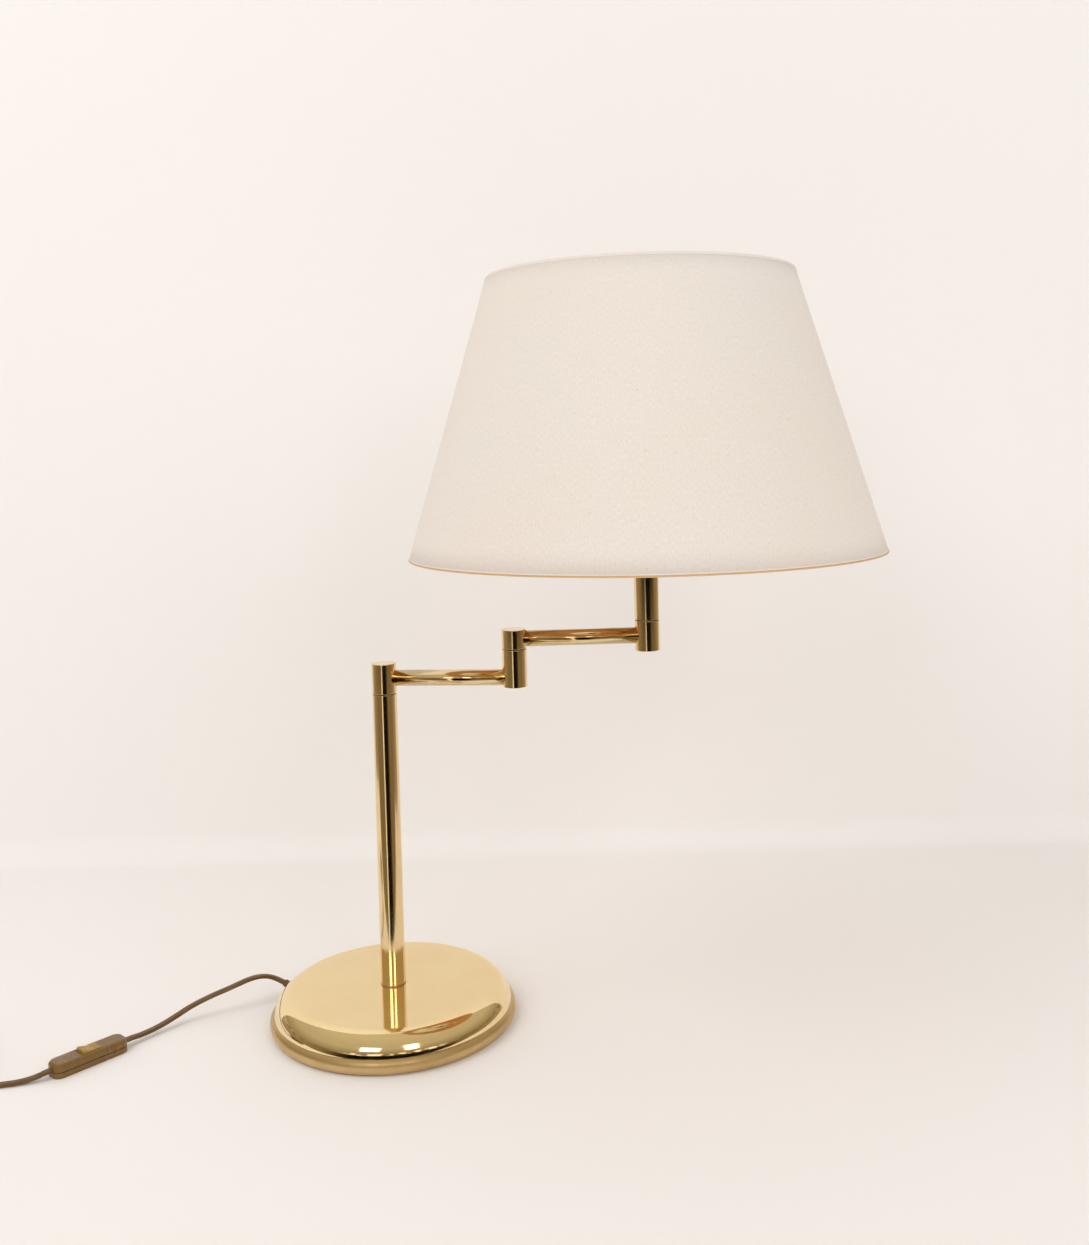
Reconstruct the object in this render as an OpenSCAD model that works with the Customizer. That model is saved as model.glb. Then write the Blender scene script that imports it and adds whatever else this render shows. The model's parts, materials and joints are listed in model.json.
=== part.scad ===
// Swing-arm table lamp: a weighted round base, a post, two arms that swing
// on vertical pivots, a turning stem with its lampholder and shade, and a
// flat mains lead with a rocker switch. The origin is the centre of the
// base's underside, +Z is up and the arms reach out towards +X.

/* [Base] */
// Widest diameter of the base, across its band
base_d = 200; // [170:1:240]
// Height of the cover's flat top above the table
base_h = 29; // [27:0.5:36]
// How far the cover's widest edge stands inside the band
cover_step = 3; // [2:0.5:5]
// Height of the seam between the cover and the band
seam_h = 13; // [11:0.5:14]
// Radius of the lower, larger part of the cover's shoulder
shoulder_side_r = 22; // [18:0.5:24]
// Radius of the upper part, next to the flat top
shoulder_top_r = 14; // [10:0.5:15]
// Sheet thickness of the spun cover
cover_wall = 1.2; // [0.8:0.1:1.6]
// Diameter of the cast weight under the cover
weight_d = 158; // [130:1:160]
// Thickness of the cast weight
weight_t = 13; // [11:0.5:13]
// Thickness of the felt under the base
felt_t = 2.2; // [1.5:0.1:2.5]
// Thickness of the bottom plate
plate_t = 1.5; // [1:0.1:2]

/* [Tubes and arms] */
// Outside diameter of the post, the stem and the pivot barrels
tube_d = 20; // [18:0.5:25]
// Wall of the post and the stem
tube_wall = 1.2; // [0.8:0.1:1.5]
// Length of the post tube
post_len = 239; // [150:1:320]
// Distance from the post's axis to the elbow's axis
lower_arm_len = 108; // [70:1:150]
// Distance from the elbow's axis to the stem's axis
upper_arm_len = 108; // [70:1:150]
// Outside diameter of both arms
arm_d = 13; // [10:0.5:13]
// Wall of both arms
arm_wall = 1.2; // [0.8:0.1:1.5]
// Length of the stem tube
stem_len = 104; // [90:1:130]
// Direction of the lower arm as the lamp stands, seen from above
lower_arm_yaw = -6; // [-30:1:30]
// Direction of the upper arm as the lamp stands
upper_arm_yaw = 1; // [-30:1:30]

/* [Pivots] */
// Height of the barrel on the post
head_h = 24.4; // [22:0.1:30]
// Height of the elbow's lower barrel
elbow_low_h = 30.5; // [28:0.1:40]
// Height of the elbow's upper barrel
elbow_top_h = 15.2; // [15:0.1:20]
// Height of the barrel under the stem
end_h = 24.5; // [23:0.1:30]
// Diameter of the hollow pivot studs
pivot_d = 10; // [9:0.5:10]
// Bore of the hollow pivot studs and nipples
pivot_bore = 6.4; // [5:0.1:7]
// Radial running clearance of a pivot in its bore
pivot_fit = 0.05; // [0.02:0.01:0.1]
// Thickness of the friction washer in each pivot
washer_t = 0.6; // [0.4:0.1:1]
// Wall of the pivot barrels
barrel_wall = 2.2; // [1.8:0.1:2.2]

/* [Shade] */
// Outside diameter of the shade's bottom edge
shade_bottom_d = 380; // [300:2:420]
// Outside diameter of the shade's top edge
shade_top_d = 246; // [180:2:280]
// Height of the shade
shade_h = 222; // [200:2:260]
// Height from the lower end of the stem tube up to the shade's bottom edge
shade_rise = 54; // [40:1:70]
// Thickness of the fabric on its lining
shade_wall = 1; // [0.6:0.1:1.5]
// Diameter of the shade's wire rings
ring_wire_d = 2.5; // [2:0.1:4]
// Diameter of the carrier's spokes
spoke_d = 3; // [2:0.1:4]

/* [Lampholder and bulb] */
// Outside diameter of the threaded lampholder
holder_d = 39; // [38:0.5:42]
// Height of the lampholder above the stem
holder_h = 54; // [50:1:60]
// Diameter of the bulb's glass
bulb_d = 60; // [45:1:60]

/* [Cord, switch and plug] */
// Width of the flat cord
cord_w = 5.6; // [5:0.1:6]
// Thickness of the flat cord
cord_t = 3.2; // [2.8:0.1:3.6]
// Length of the inline switch
switch_l = 60; // [58:1:62]
// Width of the inline switch
switch_w = 18; // [18:0.5:22]
// Height of the inline switch without its rocker
switch_h = 10.5; // [10:0.5:12]
// How far the rocker stands tilted from level
rocker_tilt = 6; // [3:0.5:7]

/* [Hidden] */
$fn = 96;

// Small working gaps and wall allowances
slip = 0.05;
seat_gap = 0.3;
eps = 0.01;
chamfer = 0.6;
cap_t = 2;
cap_lip = 1;
barrel_floor = 4;
spring_t = 0.5;
nut_h = 4;
nut_flats = 13;
bush_h = 12;
flange_t = 1.5;
flange_r = 7;
lead_core_r = 2;
riser_r = 2.4;
wire_gap = 3.5;

// Base
base_r = base_d / 2;
cover_r = base_r - cover_step;
side_x = cover_r - shoulder_side_r;
top_x = side_x + (shoulder_side_r - shoulder_top_r) * cos(45);
top_z = base_h - shoulder_top_r;
side_z = top_z - (shoulder_side_r - shoulder_top_r) * sin(45);
band_r = 7;
band_rise = 0.6;
band_depth = 10.6;
band_lip_h = 3.5;
band_lip_t = 1.6;
plate_r = base_r - band_depth + 1.5;
weight_z = base_h - cover_wall - weight_t;
band_lip_z = seam_h - seat_gap + band_lip_h;
boss_count = 3;
boss_x = 0.41 * weight_d;
boss_r = 6;
screw_r = 2;
base_washer_t = 2;
base_washer_r = 14;
base_nut_h = 4.5;
base_nut_flats = 17;
base_nut_z = weight_z - base_washer_t - base_nut_h;
foot_washer_t = 1;
foot_washer_r = tube_d / 2 + 0.3;

// Heights up the lamp
tube_r = tube_d / 2;
tube_bore_r = tube_r - tube_wall;
post_z = base_h + foot_washer_t;
head_seam_z = post_z + post_len;
head_z = head_seam_z + washer_t + slip;
head_top_z = head_z + head_h;
low_axis_z = head_z + head_h / 2;
arm_r = arm_d / 2;
arm_edge = 1;
elbow_z = low_axis_z - arm_r - arm_edge;
elbow_seam_z = elbow_z + elbow_low_h;
hinge_z = elbow_seam_z + washer_t + slip;
hinge_top_z = hinge_z + elbow_top_h;
top_axis_z = hinge_z + elbow_top_h / 2;
end_z = top_axis_z - end_h / 2;
end_seam_z = end_z + end_h;
stem_z = end_seam_z + washer_t + slip;
stem_top_z = stem_z + stem_len;
shade_z = stem_z + shade_rise;

// Pivots
barrel_bore_r = tube_r - barrel_wall;
pivot_r = pivot_d / 2;
pivot_rise = washer_t + slip + barrel_floor + spring_t + nut_h + 0.5;
elbow_plug_h = 12;
end_plug_h = 4.6;
elbow_x = lower_arm_len * cos(lower_arm_yaw);
elbow_y = lower_arm_len * sin(lower_arm_yaw);
stem_x = elbow_x + upper_arm_len * cos(upper_arm_yaw);
stem_y = elbow_y + upper_arm_len * sin(upper_arm_yaw);

// Lampholder, bulb and shade
holder_r = holder_d / 2;
holder_cup_h = 16;
holder_wall = 2;
cup_flange_r = holder_r + 3.5;
carrier_t = 2;
carrier_ring_w = 4.5;
shade_nut_h = 5;
carrier_z = stem_top_z + holder_cup_h;
bulb_cap_r = 13;
bulb_cap_h = 26;
bulb_cap_z = stem_top_z + 27;
bulb_neck_z = bulb_cap_z + bulb_cap_h;
bulb_r = bulb_d / 2;
bulb_wall = 0.8;
bulb_waist = 12;
bulb_z = bulb_neck_z + bulb_r + 20;
shade_slope = (shade_bottom_d - shade_top_d) / 2 / shade_h;
shade_lean = sqrt(1 + pow(shade_slope, 2));
ring_wire_r = ring_wire_d / 2;
ring_inset = (shade_wall + ring_wire_r) * shade_lean;
low_ring_r = shade_bottom_d / 2 - ring_wire_r * shade_slope - ring_inset;
top_ring_r = shade_top_d / 2 + ring_wire_r * shade_slope - ring_inset;
spoke_count = 3;

// Cord: where it leaves the base, and its route as [x, y, z, roll]
relief_turn = 155;
relief_r = base_r - 3;
relief_z = 6.2;
relief_heading = 172;
relief_slope = 26;
relief_in = 6;
relief_out = 14;
relief_grip = 4;
relief_thick_r = 3.5;
relief_thin_r = 3.1;
switch_at = [-229, -63];
switch_turn = 48;
lead_route = [
    [-100, 43, 12.5, 0], [-107.5, 42.5, 16.5, 0], [-114, 40, 19.5, 0], [-120.5, 35, 21.5, 0],
    [-127, 28, 22.3, 0], [-134, 21.5, 21.5, 0], [-142, 17, 19.5, 0], [-151.5, 13, 17, 0],
    [-161, 9, 14, 0], [-170, 3.5, 11, 0], [-178, -4, 8, 0], [-185, -12, 6, 0],
    [-192, -20.5, 4.8, 0], [-199.5, -30, 4.8, 0], [-208.9, -40.7, 5.5, 0]];
tail_route = [
    [-249.1, -85.3, 5.5, 0], [-254.5, -89.5, 4.5, 0], [-262, -93, 3, 0], [-271, -95.5, 2, 0],
    [-280.5, -97.5, 1.8, 0], [-290, -99.3, 1.8, 0], [-300, -101, 1.8, 0],
    [-309.5, -102.5, 2.4, 30], [-318, -104.3, 3.2, 60], [-326, -106.7, 3.6, 90]];
end_route = [
    [-387.3, -66, 9.4, 90], [-387.5, -59, 8.4, 60], [-387.7, -52, 7, 20]];
coil_at = [-350, -76];
coil_in_r = 24.5;
coil_out_r = 39.2;
coil_lift = 0.8;
coil_h = 2 * cord_w + 0.4;
tie_w = 8;
tie_turn = 60;
plug_at = [-387.7, -52];
plug_relief_l = 22;
plug_l = 34;
plug_w = 35.3;
plug_t = 13.7;
plug_pin_gap = 19;
plug_pin_l = 19;
plug_pin_r = 2;
plug_relief_thin_r = 3.3;
plug_relief_thick_r = 5;

// Switch
switch_wall = 2;
switch_corner_r = 5;
switch_split = 4.5;
rocker_l = 14;
rocker_w = 11.5;
rocker_play = 0.7;
rocker_axis_z = 6.6;
axle_r = 1.5;
axle_fit = 0.05;
axle_reach = 1.4;

// Shared shapes

// A straight tube standing on z
module pipe(z, h, outer_r, inner_r) {
    translate([0, 0, z])
        difference() {
            cylinder(h = h, r = outer_r);
            translate([0, 0, -1])
                cylinder(h = h + 2, r = inner_r);
        }
}

// A round bar with a small chamfer at its lower or upper end
module bar(z, h, r, low = 0, high = 0) {
    translate([0, 0, z])
        rotate_extrude()
            polygon([[0, 0], [r - low, 0], [r, low], [r, h - high], [r - high, h], [0, h]]);
}

// A hollow stud with a flange under what holds it, standing z to z + h
module stud(z, h) {
    difference() {
        union() {
            translate([0, 0, z])
                cylinder(h = h, r = pivot_r);
            translate([0, 0, z - flange_t])
                cylinder(h = flange_t, r = flange_r);
        }
        translate([0, 0, z - flange_t - 1])
            cylinder(h = h + flange_t + 2, r = pivot_bore / 2);
    }
}

// A spring washer with a hexagon nut on it, around a stud
module lock_nut(z) {
    pipe(z, spring_t, flange_r - 0.3, pivot_r);
    hex_nut(z + spring_t, nut_h, nut_flats);
}

module hex_nut(z, h, flats) {
    translate([0, 0, z])
        difference() {
            cylinder(h = h, r = flats / 2 / cos(30), $fn = 6);
            translate([0, 0, -1])
                cylinder(h = h + 2, r = pivot_r);
        }
}

// A friction washer between two barrels
module friction_washer(z) {
    pipe(z, washer_t, tube_r - 0.4, pivot_r + pivot_fit);
}

// A disc let into the end of a barrel
module end_disc(z) {
    translate([0, 0, z])
        cylinder(h = cap_t, r = tube_r - cap_lip - slip);
}

// A closed barrel that turns on a stud: its floor has a running bore
module turning_barrel(z, h, axis_z) {
    difference() {
        bar(z, h, tube_r, 0, chamfer);
        translate([0, 0, z - 1])
            cylinder(h = h, r = pivot_r + pivot_fit);
        translate([0, 0, z + barrel_floor])
            cylinder(h = h, r = barrel_bore_r);
        translate([0, 0, z + h - cap_t])
            cylinder(h = cap_t + 1, r = tube_r - cap_lip);
        side_hole(axis_z);
    }
}

// A closed barrel that holds a stud pressed into its thick top
module holding_barrel(z, h, plug_h, axis_z, hole_turn) {
    difference() {
        bar(z, h, tube_r, chamfer, 0);
        translate([0, 0, z - 1])
            cylinder(h = h - plug_h + 1, r = barrel_bore_r);
        translate([0, 0, z - 1])
            cylinder(h = h + 2, r = pivot_r);
        translate([0, 0, z - 1])
            cylinder(h = cap_t + 1, r = tube_r - cap_lip);
        rotate(hole_turn)
            side_hole(axis_z);
    }
}

// The way from an arm's tube through a barrel's wall
module side_hole(axis_z) {
    translate([0, 0, axis_z])
        rotate([0, 90, 0])
            cylinder(h = tube_r + 1, r = arm_r - arm_wall);
}

// An arm tube coped to fit the barrels at both ends
module arm_tube(len, axis_z) {
    difference() {
        translate([0, 0, axis_z])
            rotate([0, 90, 0])
                cylinder(h = len, r = arm_r);
        translate([-1, 0, axis_z])
            rotate([0, 90, 0])
                cylinder(h = len + 2, r = arm_r - arm_wall);
        for (x = [0, len])
            translate([x, 0, axis_z - tube_r])
                cylinder(h = tube_d, r = tube_r);
    }
}

// An upright length of wire from just under a level one's axis
module wire_riser(axis_z, top) {
    foot_z = axis_z - riser_r + 0.3;
    translate([0, 0, foot_z])
        cylinder(h = top - foot_z, r = riser_r, $fn = 24);
}

// A level length of wire inside an arm
module arm_wire(from, to, axis_z) {
    translate([from, 0, axis_z])
        rotate([0, 90, 0])
            cylinder(h = to - from, r = lead_core_r, $fn = 24);
}

module at_elbow() {
    translate([elbow_x, elbow_y, 0])
        children();
}

module at_stem() {
    translate([stem_x, stem_y, 0])
        children();
}

module lower_arm_frame() {
    rotate(lower_arm_yaw)
        children();
}

module upper_arm_frame() {
    at_elbow()
        rotate(upper_arm_yaw)
            children();
}

// Base

// Radius of the cover's inner face at a height beside its shoulder
function cover_in_r(z) =
    side_x + sqrt(pow(shoulder_side_r - cover_wall, 2) - pow(z - side_z, 2));

// Half outline of the cover, drawn in by a wall's thickness
module cover_outline(inset, low) {
    translate([0, low])
        square([top_x, base_h - inset - low]);
    intersection() {
        translate([top_x, top_z])
            circle(shoulder_top_r - inset);
        translate([0, low])
            square(2 * base_r);
    }
    intersection() {
        translate([side_x, side_z])
            circle(shoulder_side_r - inset);
        polygon([[side_x + low - side_z, low], [side_x + base_r, side_z + base_r],
            [2 * base_r, low]]);
    }
}

module base_cover() {
    color([0.85, 0.68, 0.35])
        difference() {
            rotate_extrude()
                cover_outline(0, seam_h);
            rotate_extrude()
                cover_outline(cover_wall, seam_h - 1);
            translate([0, 0, base_h - cover_wall - 1])
                cylinder(h = cover_wall + 2, r = pivot_r);
        }
}

module base_band() {
    lip_r = min(cover_in_r(seam_h), cover_in_r(band_lip_z)) - seat_gap;
    color([0.72, 0.58, 0.32])
        difference() {
            rotate_extrude() {
                intersection() {
                    translate([base_r - band_r, band_r])
                        circle(band_r);
                    translate([base_r - band_r, band_rise])
                        square([band_r + 1, seam_h - seat_gap - band_rise]);
                }
                translate([base_r - band_depth, band_rise])
                    square([band_depth - band_r, seam_h - seat_gap - band_rise]);
                translate([lip_r - band_lip_t, seam_h - seat_gap - 1])
                    square([band_lip_t, band_lip_h + 1]);
            }
            translate([0, 0, -1])
                cylinder(h = felt_t + plate_t + 1, r = plate_r + seat_gap);
            relief_frame()
                translate([0, 0, -relief_in - 10])
                    cylinder(h = relief_in + 22, r = relief_thick_r);
        }
}

module base_weight() {
    color([0.25, 0.25, 0.26])
        difference() {
            union() {
                translate([0, 0, weight_z])
                    cylinder(h = weight_t, r = weight_d / 2);
                for (i = [0:boss_count - 1])
                    rotate(60 + i * 360 / boss_count)
                        translate([boss_x, 0, felt_t + plate_t])
                            cylinder(h = weight_z + 1 - felt_t - plate_t, r = boss_r);
            }
            translate([0, 0, weight_z - 1])
                cylinder(h = weight_t + 2, r = pivot_r);
            for (i = [0:boss_count - 1])
                rotate(60 + i * 360 / boss_count)
                    translate([boss_x, 0, felt_t])
                        cylinder(h = 9, r = screw_r);
        }
}

module base_plate() {
    color([0.55, 0.55, 0.57])
        difference() {
            translate([0, 0, felt_t])
                cylinder(h = plate_t, r = plate_r);
            for (i = [0:boss_count - 1])
                rotate(60 + i * 360 / boss_count)
                    translate([boss_x, 0, felt_t])
                        screw_head(seat_gap / 3);
        }
}

module screw_head(grow) {
    rotate_extrude()
        polygon([[0, 0], [screw_r + plate_t + grow, 0], [screw_r + grow, plate_t],
            [0, plate_t]]);
}

module plate_screws() {
    color([0.75, 0.75, 0.78])
        for (i = [0:boss_count - 1])
            rotate(60 + i * 360 / boss_count)
                translate([boss_x, 0, felt_t]) {
                    screw_head(0);
                    cylinder(h = 8, r = screw_r);
                }
}

module felt_pad() {
    color([0.12, 0.2, 0.14])
        cylinder(h = felt_t, r = plate_r - 1.5);
}

// The nut that clamps the post, the cover and the weight, on its washer
module base_nut() {
    color([0.7, 0.7, 0.72]) {
        pipe(weight_z - base_washer_t, base_washer_t, base_washer_r, pivot_r);
        hex_nut(base_nut_z, base_nut_h, base_nut_flats);
    }
}

module base_nipple() {
    color([0.7, 0.7, 0.72])
        pipe(base_nut_z - seat_gap, post_z + bush_h - base_nut_z + seat_gap, pivot_r,
            pivot_bore / 2);
}

module foot_washer() {
    color([0.6, 0.45, 0.2])
        pipe(base_h, foot_washer_t, foot_washer_r, pivot_r);
}

// The two bushes pressed into the ends of the post
module post_bushes() {
    color([0.78, 0.6, 0.3])
        for (z = [post_z, head_seam_z - bush_h])
            pipe(z, bush_h, tube_bore_r, pivot_r);
}

module post_tube() {
    color([0.8, 0.63, 0.33])
        pipe(post_z, post_len, tube_r, tube_bore_r);
}

module post_pivot() {
    color([0.7, 0.7, 0.72])
        stud(head_seam_z - bush_h, bush_h + pivot_rise);
}

module post_washer() {
    color([0.9, 0.85, 0.7])
        friction_washer(head_seam_z);
}

module post_nut() {
    color([0.7, 0.7, 0.72])
        lock_nut(head_z + barrel_floor);
}

// The mains wire inside the base and the post
module base_wire() {
    low_z = felt_t + plate_t + lead_core_r + seat_gap;
    start = relief_point(-relief_in);
    color([0.35, 0.22, 0.1]) {
        wire_riser(low_z, head_seam_z + pivot_rise);
        translate([0, 0, low_z])
            rotate([0, 90, atan2(start[1], start[0])])
                cylinder(h = norm([start[0], start[1]]) - wire_gap, r = lead_core_r, $fn = 24);
    }
}

// Lower arm

module head_barrel() {
    color([0.8, 0.63, 0.33])
        lower_arm_frame()
            turning_barrel(head_z, head_h, low_axis_z);
}

module head_cap() {
    color([0.85, 0.68, 0.38])
        end_disc(head_top_z - cap_t);
}

module lower_arm_tube() {
    color([0.8, 0.63, 0.33])
        lower_arm_frame()
            arm_tube(lower_arm_len, low_axis_z);
}

module elbow_barrel() {
    color([0.8, 0.63, 0.33])
        at_elbow()
            rotate(lower_arm_yaw)
                difference() {
                    holding_barrel(elbow_z, elbow_low_h, elbow_plug_h, low_axis_z, 180);
                    set_screw_place()
                        cylinder(h = tube_r, r = screw_r);
                }
}

module set_screw_place() {
    translate([0, 0, elbow_seam_z - elbow_plug_h / 2 - 1.5])
        rotate([0, 90, 0])
            children();
}

module elbow_set_screw() {
    color([0.3, 0.28, 0.25])
        at_elbow()
            rotate(lower_arm_yaw)
                set_screw_place()
                    difference() {
                        translate([0, 0, pivot_r])
                            cylinder(h = tube_r - pivot_r - 0.4, r = screw_r);
                        translate([0, 0, tube_r - 2.4])
                            cylinder(h = 3, r = 1.1, $fn = 6);
                    }
}

module elbow_floor_cap() {
    color([0.8, 0.63, 0.33])
        at_elbow()
            end_disc(elbow_z);
}

module elbow_pivot() {
    color([0.7, 0.7, 0.72])
        at_elbow()
            stud(elbow_seam_z - elbow_plug_h, elbow_plug_h + pivot_rise);
}

module elbow_washer() {
    color([0.9, 0.85, 0.7])
        at_elbow()
            friction_washer(elbow_seam_z);
}

module elbow_nut() {
    color([0.7, 0.7, 0.72])
        at_elbow()
            lock_nut(hinge_z + barrel_floor);
}

// The wire in the lower arm, which turns up into the elbow's stud
module lower_arm_wire() {
    color([0.35, 0.22, 0.1]) {
        lower_arm_frame()
            arm_wire(lead_core_r + 1, lower_arm_len, low_axis_z);
        at_elbow()
            wire_riser(low_axis_z, elbow_seam_z + pivot_rise);
    }
}

// Upper arm

module hinge_barrel() {
    color([0.8, 0.63, 0.33])
        upper_arm_frame()
            turning_barrel(hinge_z, elbow_top_h, top_axis_z);
}

module hinge_cap() {
    color([0.85, 0.68, 0.38])
        at_elbow()
            end_disc(hinge_top_z - cap_t);
}

module upper_arm_tube() {
    color([0.8, 0.63, 0.33])
        upper_arm_frame()
            arm_tube(upper_arm_len, top_axis_z);
}

module end_barrel() {
    color([0.8, 0.63, 0.33])
        at_stem()
            rotate(upper_arm_yaw)
                holding_barrel(end_z, end_h, end_plug_h, top_axis_z, 180);
}

module end_floor_cap() {
    color([0.8, 0.63, 0.33])
        at_stem()
            end_disc(end_z);
}

module end_pivot() {
    color([0.7, 0.7, 0.72])
        at_stem()
            stud(end_seam_z - end_plug_h, end_plug_h + pivot_rise);
}

module end_washer() {
    color([0.9, 0.85, 0.7])
        at_stem()
            friction_washer(end_seam_z);
}

module end_nut() {
    color([0.7, 0.7, 0.72])
        at_stem()
            lock_nut(stem_z + barrel_floor);
}

// The wire in the upper arm, which turns up into the stem's stud
module upper_arm_wire() {
    color([0.35, 0.22, 0.1]) {
        upper_arm_frame()
            arm_wire(tube_r, upper_arm_len, top_axis_z);
        at_stem()
            wire_riser(top_axis_z, end_seam_z + pivot_rise);
    }
}

// Stem, lampholder and bulb

module stem_bush() {
    color([0.78, 0.6, 0.3])
        at_stem()
            pipe(stem_z, barrel_floor, tube_bore_r, pivot_r + pivot_fit);
}

module stem_tube() {
    color([0.8, 0.63, 0.33])
        at_stem()
            pipe(stem_z, stem_len, tube_r, tube_bore_r);
}

module stem_head() {
    color([0.78, 0.6, 0.3])
        at_stem()
            pipe(stem_top_z - bush_h, bush_h, tube_bore_r, pivot_r);
}

module stem_nipple() {
    color([0.7, 0.7, 0.72])
        at_stem()
            pipe(stem_top_z - bush_h, bush_h + 8, pivot_r, pivot_bore / 2);
}

// The lower half of the lampholder, with the flange that carries the shade
module holder_cup() {
    color([0.1, 0.1, 0.1])
        at_stem()
            translate([0, 0, stem_top_z])
                difference() {
                    rotate_extrude()
                        polygon([[pivot_r, 0], [tube_r, 0], [holder_r, 8],
                            [holder_r, holder_cup_h - carrier_t],
                            [cup_flange_r, holder_cup_h - carrier_t],
                            [cup_flange_r, holder_cup_h], [pivot_r, holder_cup_h]]);
                    translate([0, 0, 8])
                        cylinder(h = holder_cup_h, r = holder_r - holder_wall);
                }
}

module holder_sleeve() {
    color([0.1, 0.1, 0.1])
        at_stem()
            pipe(carrier_z, holder_h - holder_cup_h, holder_r, holder_r - holder_wall);
}

// The insulating block that the bulb's contacts sit on
module holder_insert() {
    color([0.92, 0.9, 0.85])
        at_stem()
            translate([0, 0, stem_top_z + 10])
                difference() {
                    cylinder(h = 13, r = holder_r - holder_wall - seat_gap);
                    translate([0, 0, 4])
                        cylinder(h = 10, r = bulb_cap_r + 1.6);
                }
}

// The springy centre contact and the side contact tongue
module holder_contacts() {
    color([0.85, 0.75, 0.4])
        at_stem()
            translate([0, 0, stem_top_z + 14]) {
                translate([-4, -3, 0])
                    cube([8, 6, 1]);
                translate([0, 0, 1])
                    cylinder(h = bulb_cap_z - stem_top_z - 15 - seat_gap, r = 2, $fn = 32);
            }
}

module shade_nut() {
    color([0.1, 0.1, 0.1])
        at_stem()
            pipe(carrier_z + carrier_t, shade_nut_h, cup_flange_r, holder_r);
}

// The carrier: a flat ring on the lampholder and spokes down to the low ring
module shade_carrier() {
    hub_r = holder_r + seat_gap;
    start = [hub_r + carrier_ring_w - 0.5, carrier_z + carrier_t / 2];
    finish = [low_ring_r - ring_wire_r, shade_z + ring_wire_r];
    reach = finish - start;
    color([0.85, 0.82, 0.75])
        at_stem() {
            pipe(carrier_z, carrier_t, hub_r + carrier_ring_w, hub_r);
            for (i = [0:spoke_count - 1])
                rotate(30 + i * 360 / spoke_count)
                    translate([start[0], 0, start[1]])
                        rotate([0, 90 - atan2(reach[1], reach[0]), 0])
                            cylinder(h = norm(reach), r = spoke_d / 2, $fn = 32);
        }
}

module wire_ring(z, r) {
    translate([0, 0, z])
        rotate_extrude()
            translate([r, 0])
                circle(ring_wire_r, $fn = 24);
}

module shade_ring_low() {
    color([0.85, 0.82, 0.75])
        at_stem()
            wire_ring(shade_z + ring_wire_r, low_ring_r);
}

module shade_ring_top() {
    color([0.85, 0.82, 0.75])
        at_stem()
            wire_ring(shade_z + shade_h - ring_wire_r, top_ring_r);
}

module shade_panel() {
    low = shade_bottom_d / 2;
    high = shade_top_d / 2;
    wall = shade_wall * shade_lean;
    color([0.95, 0.92, 0.87])
        at_stem()
            translate([0, 0, shade_z])
                rotate_extrude()
                    polygon([[low - wall, 0], [low, 0], [high, shade_h], [high - wall, shade_h]]);
}

module bulb_cap() {
    color([0.75, 0.75, 0.78])
        at_stem()
            translate([0, 0, bulb_cap_z])
                difference() {
                    rotate_extrude()
                        polygon([[0, 0], [4, 0], [bulb_cap_r - 2, 4], [bulb_cap_r, 6],
                            [bulb_cap_r, bulb_cap_h], [0, bulb_cap_h]]);
                    translate([0, 0, 6])
                        cylinder(h = bulb_cap_h, r = bulb_cap_r - bulb_wall);
                }
}

// The outside of the bulb's glass, drawn in by a wall's thickness
module bulb_shape(inset, low) {
    translate([0, 0, bulb_z])
        sphere(r = bulb_r - inset);
    translate([0, 0, bulb_neck_z - low])
        cylinder(h = bulb_z - bulb_neck_z - bulb_waist + low, r1 = bulb_cap_r - inset,
            r2 = sqrt(pow(bulb_r, 2) - pow(bulb_waist, 2)) - inset);
}

module bulb_glass() {
    color([0.97, 0.97, 0.95, 0.8])
        at_stem()
            difference() {
                bulb_shape(0, 0);
                bulb_shape(bulb_wall, 1);
            }
}

// Cord, switch and plug

module relief_frame() {
    translate([relief_r * cos(relief_turn), relief_r * sin(relief_turn), relief_z])
        rotate([0, 90 - relief_slope, relief_heading])
            children();
}

// A point on the strain relief's axis, s along it from the band's middle
function relief_point(s) = [
    relief_r * cos(relief_turn) + s * cos(relief_slope) * cos(relief_heading),
    relief_r * sin(relief_turn) + s * cos(relief_slope) * sin(relief_heading),
    relief_z + s * sin(relief_slope)];

module cord_relief() {
    color([0.3, 0.2, 0.1])
        relief_frame()
            translate([0, 0, -relief_in]) {
                cylinder(h = relief_in + relief_grip, r = relief_thick_r);
                translate([0, 0, relief_in + relief_grip])
                    cylinder(h = relief_out - relief_grip, r1 = relief_thick_r,
                        r2 = relief_thin_r);
            }
}

// A flat tube swept along a route of [x, y, z, roll] points
side_count = 12;
function unit(v) = v / norm(v);
function place(p) = [p[0], p[1], p[2]];
function along(route, i) = unit(place(route[min(i + 1, len(route) - 1)])
    - place(route[max(i - 1, 0)]));
function across(t) = unit(cross([0, 0, 1], t));
function ring_points(route, i) =
    let (t = along(route, i), a = across(t), b = cross(t, a), roll = route[i][3],
        wide = a * cos(roll) + b * sin(roll), thin = b * cos(roll) - a * sin(roll))
    [for (k = [0:side_count - 1])
        let (turn = 360 * k / side_count)
        place(route[i]) + wide * (cord_w / 2 * cos(turn)) + thin * (cord_t / 2 * sin(turn))];

module flat_tube(route) {
    count = len(route);
    points = [for (i = [0:count - 1]) each ring_points(route, i)];
    sides = [for (i = [0:count - 2], k = [0:side_count - 1])
        let (next = (k + 1) % side_count, a = i * side_count, b = a + side_count)
        each [[a + k, b + k, b + next], [a + k, b + next, a + next]]];
    polyhedron(points = points, faces = concat(
        [[for (k = [0:side_count - 1]) k]],
        sides,
        [[for (k = [side_count - 1:-1:0]) (count - 1) * side_count + k]]));
}

module cord_lead() {
    color([0.35, 0.24, 0.12])
        flat_tube(lead_route);
}

module cord_tail() {
    color([0.35, 0.24, 0.12])
        flat_tube(tail_route);
}

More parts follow.
